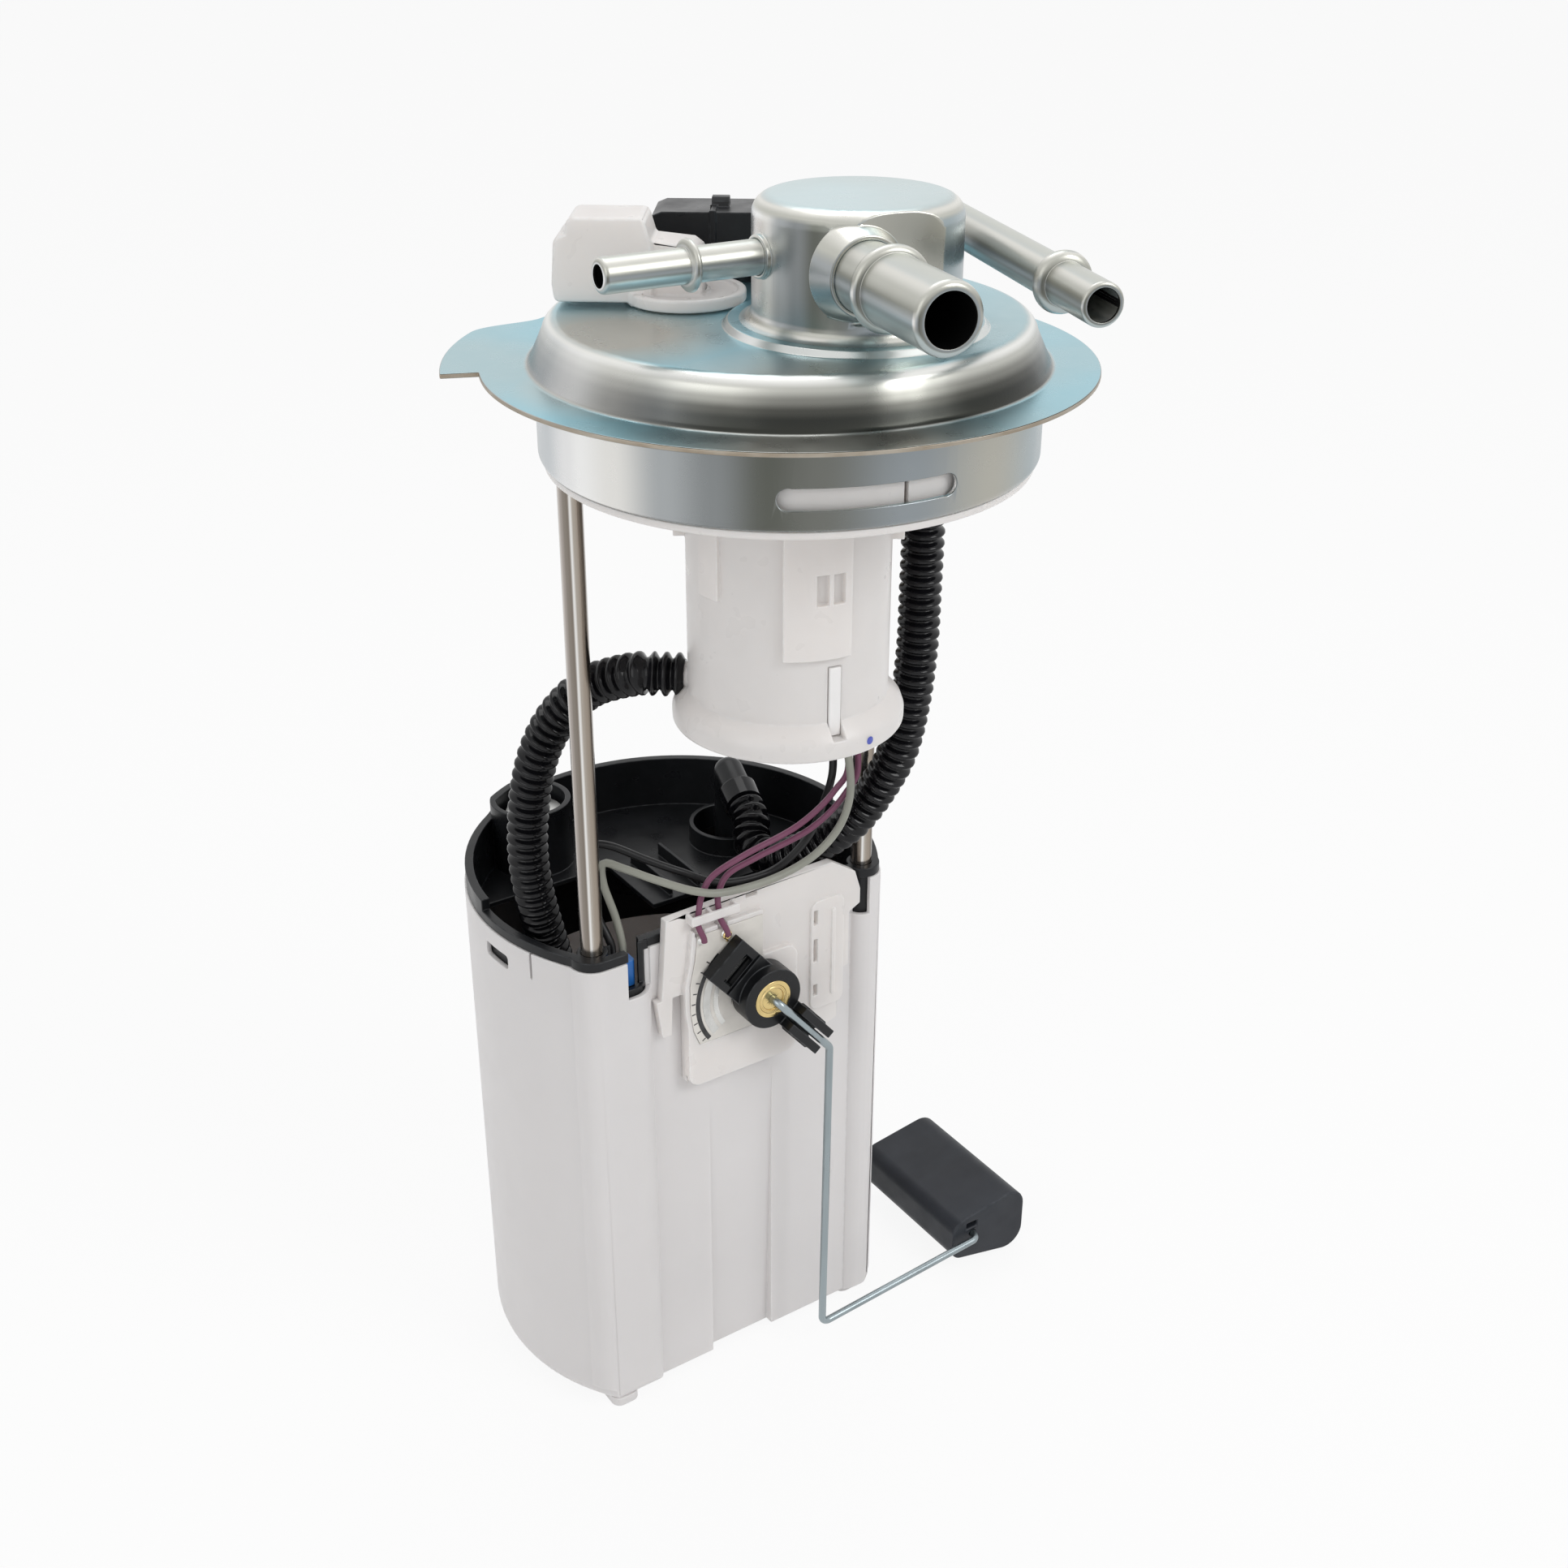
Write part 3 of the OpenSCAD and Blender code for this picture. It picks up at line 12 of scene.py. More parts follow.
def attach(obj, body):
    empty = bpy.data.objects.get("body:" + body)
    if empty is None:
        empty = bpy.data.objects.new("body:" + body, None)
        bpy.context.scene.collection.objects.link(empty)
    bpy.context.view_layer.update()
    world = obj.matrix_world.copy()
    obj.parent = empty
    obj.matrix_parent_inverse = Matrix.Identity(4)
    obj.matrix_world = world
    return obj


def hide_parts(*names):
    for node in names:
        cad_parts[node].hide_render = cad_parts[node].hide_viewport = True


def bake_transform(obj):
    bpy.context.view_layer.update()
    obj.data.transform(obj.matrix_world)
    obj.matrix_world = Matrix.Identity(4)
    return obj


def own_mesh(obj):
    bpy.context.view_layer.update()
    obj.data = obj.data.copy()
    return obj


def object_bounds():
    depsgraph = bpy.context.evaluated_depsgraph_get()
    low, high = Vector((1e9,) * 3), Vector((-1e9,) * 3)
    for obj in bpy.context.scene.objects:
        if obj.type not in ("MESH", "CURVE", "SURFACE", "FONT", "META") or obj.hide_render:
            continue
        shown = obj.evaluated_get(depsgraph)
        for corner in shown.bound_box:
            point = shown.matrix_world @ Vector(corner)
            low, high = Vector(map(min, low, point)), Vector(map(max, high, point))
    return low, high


bl_info = {
    "name": "Fuel Pump Module",
    "version": (1, 0, 0),
    "blender": (4, 5, 0),
    "location": "3D View > Sidebar > Fuel Pump",
    "description": "Dresses the fuel pump module and sets up its studio",
    "category": "Object",
}

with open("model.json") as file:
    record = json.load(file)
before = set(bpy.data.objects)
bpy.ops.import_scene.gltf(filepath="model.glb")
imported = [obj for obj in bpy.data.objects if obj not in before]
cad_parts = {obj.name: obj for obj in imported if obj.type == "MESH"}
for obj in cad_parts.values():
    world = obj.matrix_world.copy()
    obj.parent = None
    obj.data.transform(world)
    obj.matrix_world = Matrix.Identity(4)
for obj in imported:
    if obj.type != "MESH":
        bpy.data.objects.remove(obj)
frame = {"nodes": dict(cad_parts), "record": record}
cad_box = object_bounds()

MM = 0.001
# The camera: picture and focal length in pixels, sensor in millimetres, place in metres
IMAGE_SIDE = 1932
FOCAL_PIXELS = 2394
SENSOR_WIDTH = 36.0
CAMERA_AT = (-0.2595, -0.3803, 0.1251)
CAMERA_HEADING = math.radians(34.193)
CAMERA_PITCH = math.radians(27.45)
CAMERA_ROLL = math.radians(0.25)

# Places and sizes that this script's own pieces share with the frame, in millimetres and
# degrees
HUB = (3.8, -191.0)
CARD_FRONT = 20.6
SPIGOT_ANGLE = math.radians(140)
ARM_TURN = 130
LEAF_BACK = 18.7
PADS = ((-15.0, -168.8), (-7.0, -169.2))
TRACK_TURN = (130, 215)
SPRING_FOOT = -320.4
SPRING_TOP = -240.45
SPRING_RADIUS = 2.45
SPRING_WIRE = 0.5
SPRING_TURNS = 16
ROD_X = 46.2
ROD_Y = 28.2
VALVE_SPRING_FOOT = -89.25
VALVE_SPRING_TOP = -81.35
VALVE_SPRING_RADIUS = 7.5
VALVE_SPRING_WIRE = 0.55
VALVE_SPRING_TURNS = 3
TONGUE_SIZE = (1.1, 3.1, 18.4)
TONGUE_AT = (25.9, 0, -78.8)
TONGUE_BEARING = -98
LEAF_SIZE = (2.4, 0.7, 8.6)
LEAF_MIDDLE = 14.9
LEAF_TOE = 14.2
MARK_SIZE = (1.3, 0.08, 0.35)
MARK_RADIUS = 22.1
MARK_COUNT = 9
VALVE_INK_BEARING = -81
VALVE_INK_RADIUS = 30.2
# Where the flange's cut edge is bare, and how deep a pipe's bore is painted black as its shade
SHEET_TOP = 1.3
RIM_FROM = 72
BORE_DEPTH = 30

FEED_ROUTE = (
    (30.4, 69.2, -159.1), (28.4, 61.6, -161.5), (24.5, 54.5, -165.6), (25, 46.5, -166.3),
    (29, 38, -162.5), (34.3, 29.8, -155.2), (38.5, 22, -146), (42.5, 16.5, -135),
    (45.5, 11, -121), (47, 8, -104), (47.5, 6.5, -87), (47, 5.5, -70), (46.3, 4.3, -48),
    (46, 4, -24.8),
)
DRAIN_ROUTE = (
    (-26.28, 22.05, -83.5), (-29.72, 24.94, -83.65), (-33.6, 31.8, -86.6), (-37.6, 38.2, -90.5),
    (-41.5, 44, -97), (-45, 49, -105.5), (-47.8, 52.5, -116), (-49.6, 55, -129.5),
    (-50.4, 56, -146), (-48.6, 57, -161), (-45, 58, -177), (-41, 59, -195), (-39.2, 59, -206),
    (-39, 59, -213.7),
)
PURPLE_A_ROUTE = (
    (20, 35.9, 9), (24, 36.2, -23.5), (27.2, 31, -60), (30.4, 24, -95), (31, 15, -121),
    (27, 16, -131), (17.5, 20, -141), (0.5, 21.6, -146), (-10, 22.4, -150), (-14, 22, -155),
    (-15.6, 21.3, -160), (-16, 21.2, -163), (-15.8, 20.2, -165.2), (-15.2, 19.4, -167),
    (-15, 19.3, -168.6),
)
PURPLE_B_ROUTE = (
    (22.4, 35.3, 9), (26.2, 35.4, -23.5), (29.4, 29.6, -60), (32.4, 22.6, -95),
    (33.4, 13.6, -121), (29.6, 14.4, -132), (20.6, 18.6, -142.5), (4, 21.4, -148),
    (-5, 22.3, -151), (-8.6, 21.8, -156), (-9, 21.2, -160.5), (-8.8, 21.15, -163),
    (-8.2, 20.2, -165.2), (-7.4, 19.4, -167.2), (-7, 19.3, -169),
)
GREY_ROUTE = (
    (18, 33.9, 9), (22, 33.6, -23.5), (24.4, 29, -60), (27.6, 21.6, -95), (29, 12, -120),
    (28.5, 12, -136), (22.5, 15.8, -148.5), (9, 17.6, -154), (-8, 17.8, -153.6),
    (-17, 20.5, -151.8), (-26, 27.5, -148.5), (-33, 32.2, -145), (-37.5, 35.5, -143.5),
    (-37.6, 36, -150), (-36, 32.6, -160), (-35.7, 30, -167), (-35.6, 29.7, -171.2),
)
BLACK_ROUTE = (
    (18.6, 38.9, 9), (22, 38.9, -23.5), (24, 34.6, -60), (27, 27, -95), (28.5, 19, -121),
    (27.5, 22, -138), (24, 26, -151), (14, 28.5, -159), (-2, 30, -158.5), (-14, 33, -152.5),
    (-23, 36.5, -147.5), (-33, 40.5, -141.5), (-39.5, 43, -141), (-42, 42, -147),
    (-40.4, 35.5, -159), (-39, 30.6, -166.5), (-38.9, 30.2, -171.2),
)
WIRE_ROUTE = (
    (3.8, 24.0, -191), (3.8, 9, -191), (21.86, 9, -212.91), (20.86, 9, -321.3),
    (85.7, 9, -316.6), (85.7, 38, -316.6),
)


def length(label, default, text):
    return FloatProperty(name=label, description=text, default=default, unit="LENGTH", precision=5)


def colour(label, default, text):
    return FloatVectorProperty(
        name=label, description=text, default=default, subtype="COLOR", min=0, max=1, size=3
    )


class FuelPumpSizes(bpy.types.PropertyGroup):
    """Sizes of the lines and of the edges."""

    fine_edge: length("Fine Edge", 0.00016, "Rounding of the smallest moulded edges")
    edge: length("Edge", 0.0003, "Rounding of ordinary edges")
    soft_edge: length("Soft Edge", 0.0007, "Rounding of the large moulded edges")
    edge_steps: IntProperty(name="Edge Steps", description="Faces across an edge", default=3, min=1)
    hose_radius: length("Hose Radius", 0.0059, "Outside radius of a corrugated hose")
    hose_groove: length("Hose Groove", 0.0017, "Depth between two rings of a hose")
    hose_pitch: length("Hose Pitch", 0.00335, "Distance from one hose ring to the next")
    sleeve_radius: length("Sleeve Radius", 0.0061, "Radius of a hose's smooth end")
    lead_radius: length("Lead Radius", 0.00115, "Radius of the grey and black leads")
    thin_lead_radius: length("Thin Lead Radius", 0.0009, "Radius of a purple lead")
    wire_radius: length("Float Wire Radius", 0.0012, "Radius of the float's wire")
    wire_bend: length("Float Wire Bend", 0.0026, "Radius of the bends in the float's wire")


class FuelPumpColours(bpy.types.PropertyGroup):
    """Colours of the finishes."""

    # The three zinc colours are painted reflections on the plating: sky on flat tops, pale on the
    # turret, grey in patches
    zinc_sky: colour("Zinc Sky", (0.25, 0.54, 0.64), "Blue cast of the flat zinc plating")
    zinc_pale: colour("Pale Zinc", (0.52, 0.64, 0.66), "Cast of the zinc on the turret")
    zinc_grey: colour("Grey Zinc", (0.47, 0.47, 0.43), "Grey cast of the zinc plating")
    milky: colour("Milky", (0.79, 0.765, 0.76), "Milky nylon of the mouldings")
    milky_clear: colour("Clear Milky", (0.84, 0.80, 0.775), "Thin milky nylon over the valve")
    black: colour("Black", (0.006, 0.0065, 0.0075), "Black moulded plastic")
    hose: colour("Hose", (0.004, 0.004, 0.005), "Black hose")
    rubber: colour("Rubber", (0.018, 0.019, 0.02), "Black rubber")
    foam: colour("Float", (0.014, 0.016, 0.021), "Skin of the float")
    brass: colour("Brass", (0.78, 0.60, 0.27), "Brass bushing")
    tin: colour("Tin", (0.66, 0.66, 0.64), "Tinned contacts")
    wire: colour("Float Wire", (0.33, 0.38, 0.40), "Drawn wire of the float arm")
    purple: colour("Purple", (0.20, 0.068, 0.125), "Purple lead")
    grey: colour("Grey", (0.33, 0.335, 0.29), "Grey lead")
    blue: colour("Blue", (0.02, 0.14, 0.46), "Blue terminal")
    ink: colour("Ink", (0.05, 0.07, 0.45), "Inspection ink")
    ceramic: colour("Ceramic", (0.78, 0.75, 0.70), "Ceramic card")
    copper: colour("Copper", (0.42, 0.17, 0.07), "Windings")


class FuelPumpStudio(bpy.types.PropertyGroup):
    """The studio's light."""

    key: FloatProperty(name="Key Light", description="Power in watts", default=6.4, unit="POWER")
    fill: FloatProperty(name="Fill Light", description="Power in watts", default=2.6, unit="POWER")
    top: FloatProperty(name="Top Light", description="Power in watts", default=2.6, unit="POWER")
    sky: FloatProperty(name="Sky", description="Strength of the even light", default=0.56)
    floor: colour("Floor", (0.86, 0.86, 0.86), "Pale floor")


def sizes():
    return bpy.context.scene.fuel_pump_sizes


def colours():
    return bpy.context.scene.fuel_pump_colours


# Shader nodes


def add(tree, kind, values=None, **settings):
    """A new node: each value is a constant or another node's output."""
    node = tree.nodes.new(kind)
    for key, value in settings.items():
        setattr(node, key, value)
    for key, value in (values or {}).items():
        if isinstance(value, bpy.types.NodeSocket):
            tree.links.new(value, node.inputs[key])
        else:
            node.inputs[key].default_value = value
    return node


def maths(tree, operation, *values):
    return add(tree, "ShaderNodeMath", dict(enumerate(values)), operation=operation).outputs[0]


def own_place(tree):
    """The place on the piece itself, in metres."""
    return tree.nodes.new("ShaderNodeTexCoord").outputs["Object"]


def rgba(shade):
    return (*shade[:3], 1.0)


def mixed(tree, factor, low, high):
    """Colour output between low and high; inputs 6 and 7 of the node are its colours."""
    values = {0: factor, 6: low, 7: high}
    return add(tree, "ShaderNodeMix", values, data_type="RGBA").outputs[2]


def ranged(tree, value, low, high, to_low=0.0, to_high=1.0):
    """A value of low to high brought to to_low to to_high, and held there beyond."""
    values = dict(enumerate((value, low, high, to_low, to_high)))
    return add(tree, "ShaderNodeMapRange", values).outputs["Result"]


def banded(tree, value, stops):
    """Colour output of a ramp whose stops are (position, colour)."""
    node = add(tree, "ShaderNodeValToRGB", {"Fac": value})
    band = node.color_ramp
    band.interpolation = "EASE"
    band.elements[1].position, band.elements[1].color = stops[-1][0], rgba(stops[-1][1])
    band.elements[0].position, band.elements[0].color = stops[0][0], rgba(stops[0][1])
    for position, shade in stops[1:-1]:
        band.elements.new(position).color = rgba(shade)
    return node.outputs["Color"]


def facing(tree):
    """Outputs X, Y and Z of the surface's own direction, and its bearing from -pi to pi."""
    way = tree.nodes.new("ShaderNodeTexCoord").outputs["Normal"]
    parts = add(tree, "ShaderNodeSeparateXYZ", {"Vector": way}).outputs
    return parts, maths(tree, "ARCTAN2", parts["Y"], parts["X"])


def node_group(name, inputs, outputs):
    """Turns fill(tree, given, made) into a function that builds its node group only once."""

    def wrap(fill):
        def group():
            if name in bpy.data.node_groups:
                return bpy.data.node_groups[name]
            tree = bpy.data.node_groups.new(name, "ShaderNodeTree")
            for label, kind, *value in (*inputs, *outputs):
                socket = tree.interface.new_socket(
                    name=label, in_out="INPUT" if value else "OUTPUT",
                    socket_type="NodeSocket" + kind,
                )
                if value:
                    socket.default_value = value[0]
            ends = [tree.nodes.new(kind) for kind in ("NodeGroupInput", "NodeGroupOutput")]
            fill(tree, ends[0].outputs, ends[1].inputs)
            return tree

        return group

    return wrap


def object_noise(tree, scale, stretch=None, detail=3.0):
    """Noise on the piece's own coordinates; stretch scales the axes one by one."""
    spot = own_place(tree)
    if stretch is not None:
        spot = add(tree, "ShaderNodeMapping", {"Vector": spot, "Scale": stretch}).outputs["Vector"]
    values = {"Vector": spot, "Scale": scale, "Detail": detail, "Roughness": 0.55}
    return add(tree, "ShaderNodeTexNoise", values).outputs["Fac"]


@node_group(
    "Soft Tones",
    [
        ("Tone", "Color", (0.5, 0.5, 0.5, 1)),
        ("Second Tone", "Color", (0.4, 0.4, 0.4, 1)),
        ("Patch Scale", "Float", 40.0),
        ("Stretch", "Vector", (1, 1, 1)),
        ("Low Roughness", "Float", 0.3),
        ("High Roughness", "Float", 0.5),
    ],
    [("Color", "Color"), ("Roughness", "Float")],
)
def tone_group(tree, given, made):
    """Two tones of one finish in soft patches, with a roughness that wanders with them."""
    patch = object_noise(tree, given["Patch Scale"], given["Stretch"])
    soft = ranged(tree, patch, 0.36, 0.66)
    tree.links.new(mixed(tree, soft, given["Tone"], given["Second Tone"]), made["Color"])
    smudge = object_noise(tree, 130.0, given["Stretch"], detail=2.0)
    low, high = given["Low Roughness"], given["High Roughness"]
    tree.links.new(ranged(tree, smudge, 0.3, 0.7, low, high), made["Roughness"])


@node_group(
    "Surface Grain",
    [
        ("Grain Scale", "Float", 1500.0),
        ("Stretch", "Vector", (1, 1, 1)),
        ("Wave", "Float", 0.5),
    ],
    [("Height", "Float")],
)
def grain_group(tree, given, made):
    """Height of a fine surface grain, with a slow wave under it."""
    fine = object_noise(tree, given["Grain Scale"], given["Stretch"], detail=2.0)
    slow = object_noise(tree, 60.0, given["Stretch"])
    wave = maths(tree, "MULTIPLY", slow, given["Wave"])
    tree.links.new(maths(tree, "ADD", fine, wave), made["Height"])


@node_group("Edge Wear", [("Amount", "Float", 0.5)], [("Mask", "Float")])
def wear_group(tree, given, made):
    """Mask of the rubbed edges: the rounded edge faces carry the attribute edge_wear."""
    edge = add(tree, "ShaderNodeAttribute", attribute_name="edge_wear").outputs["Fac"]
    broken = ranged(tree, object_noise(tree, 420.0, detail=4.0), 0.35, 0.6)
    rubbed = maths(tree, "MULTIPLY", edge, broken)
    tree.links.new(maths(tree, "MULTIPLY", rubbed, given["Amount"]), made["Mask"])


# Bands are painted reflections and highlights on metal: position on the ramp and colour. Walls go
# once round by bearing, slopes go from facing down to facing up, the dome's wall goes from its foot
# to its top, and a rod's bands go half way round.
WALL_REFLECTION_BANDS = (
    (0.0, (0.80, 0.80, 0.80)), (0.014, (0.88, 0.88, 0.87)), (0.044, (0.78, 0.77, 0.74)),
    (0.08, (0.37, 0.39, 0.40)), (0.111, (0.22, 0.235, 0.24)), (0.142, (0.095, 0.10, 0.085)),
    (0.172, (0.15, 0.155, 0.14)), (0.228, (0.27, 0.30, 0.32)), (0.289, (0.43, 0.42, 0.37)),
    (0.347, (0.32, 0.38, 0.40)), (0.406, (0.40, 0.46, 0.48)), (0.5, (0.34, 0.37, 0.38)),
    (0.667, (0.48, 0.48, 0.46)), (0.806, (0.28, 0.30, 0.30)), (0.917, (0.42, 0.46, 0.47)),
    (0.967, (0.52, 0.55, 0.57)), (1.0, (0.80, 0.80, 0.80)),
)
SLOPE_REFLECTION_BANDS = (
    (0.0, (0.42, 0.48, 0.49)), (0.35, (0.44, 0.50, 0.50)), (0.46, (0.15, 0.15, 0.12)),
    (0.52, (0.19, 0.19, 0.15)), (0.62, (0.36, 0.36, 0.32)), (0.78, (0.52, 0.52, 0.47)),
    (0.9, (0.74, 0.73, 0.68)), (0.97, (0.52, 0.55, 0.54)), (1.0, (0.47, 0.50, 0.49)),
)
DOME_REFLECTION_BANDS = (
    (0.0, (0.09, 0.09, 0.07)), (0.1, (0.02, 0.021, 0.016)), (0.32, (0.014, 0.015, 0.012)),
    (0.46, (0.05, 0.05, 0.043)), (0.62, (0.2, 0.2, 0.18)), (0.8, (0.50, 0.50, 0.46)),
    (0.92, (0.86, 0.86, 0.83)), (1.0, (0.7, 0.72, 0.7)),
)
ROD_REFLECTION_BANDS = (
    (0.0, (0.52, 0.48, 0.45)), (0.07, (0.38, 0.34, 0.31)), (0.17, (0.24, 0.21, 0.18)),
    (0.27, (0.20, 0.17, 0.14)), (0.33, (0.82, 0.81, 0.79)), (0.39, (0.40, 0.36, 0.31)),
    (0.52, (0.32, 0.27, 0.22)), (0.66, (0.15, 0.12, 0.09)), (0.78, (0.55, 0.53, 0.51)),
    (0.92, (0.66, 0.63, 0.60)), (1.0, (0.52, 0.48, 0.45)),
)
# How much of the dome's painted reflection bands shows, once round by bearing
DOME_REFLECTION_SHARE = (
    (0.0, 0.4), (0.06, 0.75), (0.12, 1), (0.32, 1), (0.41, 0.6), (0.6, 0.85), (0.9, 0.7),
    (1.0, 0.4),
)
DOME_WALL_TOP = 12.6
# Middle of each painted grey reflection patch on the plating, how far it is full and where it ends,
# in metres
PAINTED_GREY_SPOTS = (((-0.032, -0.066, 0.0), 0.018, 0.05), ((-0.046, 0.004, 0.0124), 0.012, 0.034))


def spot_mask(tree, place, near, far):
    """1 up to near from a place on the piece, 0 from far on."""
    values = {0: own_place(tree), 1: place}
    away = add(tree, "ShaderNodeVectorMath", values, operation="DISTANCE").outputs["Value"]
    return ranged(tree, away, near, far, 1, 0)


@node_group(
    "Plating Cast",
    [
        ("Sky", "Color", (0.25, 0.54, 0.64, 1)),
        ("Grey", "Color", (0.47, 0.47, 0.43, 1)),
        ("Cloud Scale", "Float", 14.0),
        ("Wall Reach", "Float", 0.3),
        ("Turn", "Float", 0.0),
    ],
    [("Color", "Color")],
)
def plating_group(tree, given, made):
    """Painted reflections on bright plating: cool on flat tops, a pale painted highlight on
    shoulders, and soft painted reflection bands on walls.
    """
    parts, bearing = facing(tree)
    around = maths(tree, "ADD", ranged(tree, bearing, -math.pi, math.pi), given["Turn"])
    wall = banded(tree, maths(tree, "FRACT", around), WALL_REFLECTION_BANDS)
    slope = banded(tree, ranged(tree, parts["Z"], -1, 1), SLOPE_REFLECTION_BANDS)
    past = maths(tree, "SUBTRACT", maths(tree, "ABSOLUTE", parts["Z"]), given["Wall Reach"])
    shade = mixed(tree, ranged(tree, past, 0, 0.22, 1, 0), slope, wall)
    # Grey patches break up the painted sky reflection on the flat tops
    cloud = ranged(tree, object_noise(tree, given["Cloud Scale"], detail=1.5), 0.4, 0.65, 0, 0.45)
    for place, near, far in PAINTED_GREY_SPOTS:
        cloud = maths(tree, "MAXIMUM", cloud, spot_mask(tree, place, near, far))
    top = mixed(tree, cloud, given["Sky"], given["Grey"])
    shade = mixed(tree, ranged(tree, parts["Z"], 0.86, 0.995), shade, top)
    tree.links.new(shade, made["Color"])


@node_group("Rod Bands", [], [("Color", "Color")])
def bands_group(tree, given, made):
    """Painted reflection bands along a polished rod, twice round it."""
    twice = ranged(tree, facing(tree)[1], -math.pi, math.pi, 0, 2)
    tree.links.new(banded(tree, maths(tree, "FRACT", twice), ROD_REFLECTION_BANDS), made["Color"])


def placed(tree, group, values):
    node = add(tree, "ShaderNodeGroup", node_tree=group)
    for key, value in values.items():
        node.inputs[key].default_value = value
    return node.outputs


def finish(name, tone, second, rough, grain, bump, wear=0.0, worn=None, stretch=(1, 1, 1),
           patch=40.0, wave=0.5, paint=None, **constants):
    """A finish of the module: soft tones, worn edges and grain on one Principled shader.
    paint(tree, colour) may lay one more colour over it: painted reflections on the metals, a
    pattern or a haze on the others. The constants go on the shader."""
    if name in bpy.data.materials:
        return bpy.data.materials[name]
    material = bpy.data.materials.new(name)
    material.use_nodes = True
    tree = material.node_tree
    shader = tree.nodes["Principled BSDF"]
    tones = placed(tree, tone_group(), {
        "Tone": rgba(tone), "Second Tone": rgba(second), "Patch Scale": patch,
        "Stretch": stretch, "Low Roughness": rough[0], "High Roughness": rough[1],
    })
    shade = tones["Color"]
    if paint:
        shade = paint(tree, shade)
    if wear:
        mask = placed(tree, wear_group(), {"Amount": wear})["Mask"]
        shade = mixed(tree, mask, shade, rgba(worn))
    height = placed(tree, grain_group(), {"Grain Scale": grain, "Stretch": stretch, "Wave": wave})
    relief = add(tree, "ShaderNodeBump", {
        "Height": height["Height"], "Strength": bump, "Distance": 0.1 * MM,
    })
    tree.links.new(shade, shader.inputs["Base Color"])
    tree.links.new(tones["Roughness"], shader.inputs["Roughness"])
    tree.links.new(relief.outputs["Normal"], shader.inputs["Normal"])
    for key, value in constants.items():
        shader.inputs[key.replace("_", " ")].default_value = value
    return material


def darker(shade, share):
    return tuple(share * part for part in shade)


def plated(name, sky, reach, turn=0.0, rough=(0.26, 0.32), metal=0.9, over=None):
    """Zinc plating with painted reflections: flat tops take the painted sky reflection, and faces
    that tilt up to reach are walls with painted reflection bands. over(tree, colour) may lay one
    more painted reflection over it."""

    # Lays the painted reflections over the zinc's own tone
    def plating(tree, shade):
        cast = placed(tree, plating_group(), {
            "Sky": rgba(sky), "Grey": rgba(colours().zinc_grey), "Wall Reach": reach, "Turn": turn,
        })["Color"]
        if over:
            cast = over(tree, cast)
        return mixed(tree, 0.95, shade, cast)

    return finish(name, (0.45, 0.46, 0.45), (0.36, 0.37, 0.36), rough, 500.0, 0.008,
                  wear=0.04, worn=(0.66, 0.67, 0.66), patch=30.0, wave=0.4, paint=plating,
                  Metallic=metal)


def dome_wall(tree, cast):
    """Painted reflection of the dark rim along the foot of the dome's wall, with a painted
    highlight towards its top, strongest at the front.
    """
    parts, bearing = facing(tree)
    height = add(tree, "ShaderNodeSeparateXYZ", {"Vector": own_place(tree)}).outputs["Z"]
    band = banded(tree, ranged(tree, height, 0, DOME_WALL_TOP * MM), DOME_REFLECTION_BANDS)
    stops = [(position, (share,) * 3) for position, share in DOME_REFLECTION_SHARE]
    share = banded(tree, ranged(tree, bearing, -math.pi, math.pi), stops)
    wall = maths(tree, "MULTIPLY", ranged(tree, parts["Z"], 0.8, 0.97, 1, 0), share)
    above = ranged(tree, height, 0.1 * MM, 0.4 * MM)
    return mixed(tree, maths(tree, "MULTIPLY", wall, above), cast, band)


# The flange's zinc carries the painted sky reflection and the painted reflection of the rim on the
# dome's wall
def zinc_steel():
    return plated("Zinc Plated Steel", colours().zinc_sky, 0.66, over=dome_wall)


# The turret's tops take the pale painted reflection, and its wall bands are turned a little
def turret_steel():
    return plated("Drawn Zinc Steel", colours().zinc_pale, 0.3, turn=0.055)


# The pipes' tops take a pale painted reflection
def pipe_steel():
    return plated("Zinc Plated Pipe", (0.56, 0.58, 0.53), 0.04, rough=(0.28, 0.36), metal=0.7)


def stainless():
    # The rod's lengthways bands are painted reflections laid over its colour
    def polish(tree, shade):
        return mixed(tree, 0.9, shade, placed(tree, bands_group(), {})["Color"])

    return finish("Polished Stainless", (0.42, 0.40, 0.38), (0.34, 0.32, 0.30), (0.14, 0.22),
                  2400.0, 0.04, patch=25.0, stretch=(1, 1, 0.15), wave=0.2, paint=polish,
                  Metallic=0.95)


def float_black():
    foam = colours().foam

    # A paler bluish haze in stretched patches over the black skin
    def rubbed(tree, shade):
        haze = ranged(tree, object_noise(tree, 45.0, (0.4, 1.4, 1), detail=4.0), 0.5, 0.78, 0, 0.4)
        return mixed(tree, haze, shade, (0.03, 0.037, 0.045, 1))

    return finish("Float Skin", foam, darker(foam, 1.5), (0.4, 0.52), 2600.0, 0.25,
                  wear=0.5, worn=(0.05, 0.055, 0.065), patch=40.0, paint=rubbed, IOR=1.5,
                  Specular_IOR_Level=0.3)


def stripes(tree, scale, way):
    values = {"Vector": own_place(tree), "Scale": scale}
    return add(tree, "ShaderNodeTexWave", values, bands_direction=way).outputs["Fac"]


def windings():
    """Copper turns laid round the armature."""
    copper = colours().copper

    def turns(tree, shade):
        gap = rgba(darker(copper, 0.4))
        return mixed(tree, ranged(tree, stripes(tree, 420.0, "Z"), 0.2, 0.8), shade, gap)

    return finish("Windings", copper, darker(copper, 0.7), (0.3, 0.45), 1800.0, 0.2, paint=turns,
                  Metallic=0.7)


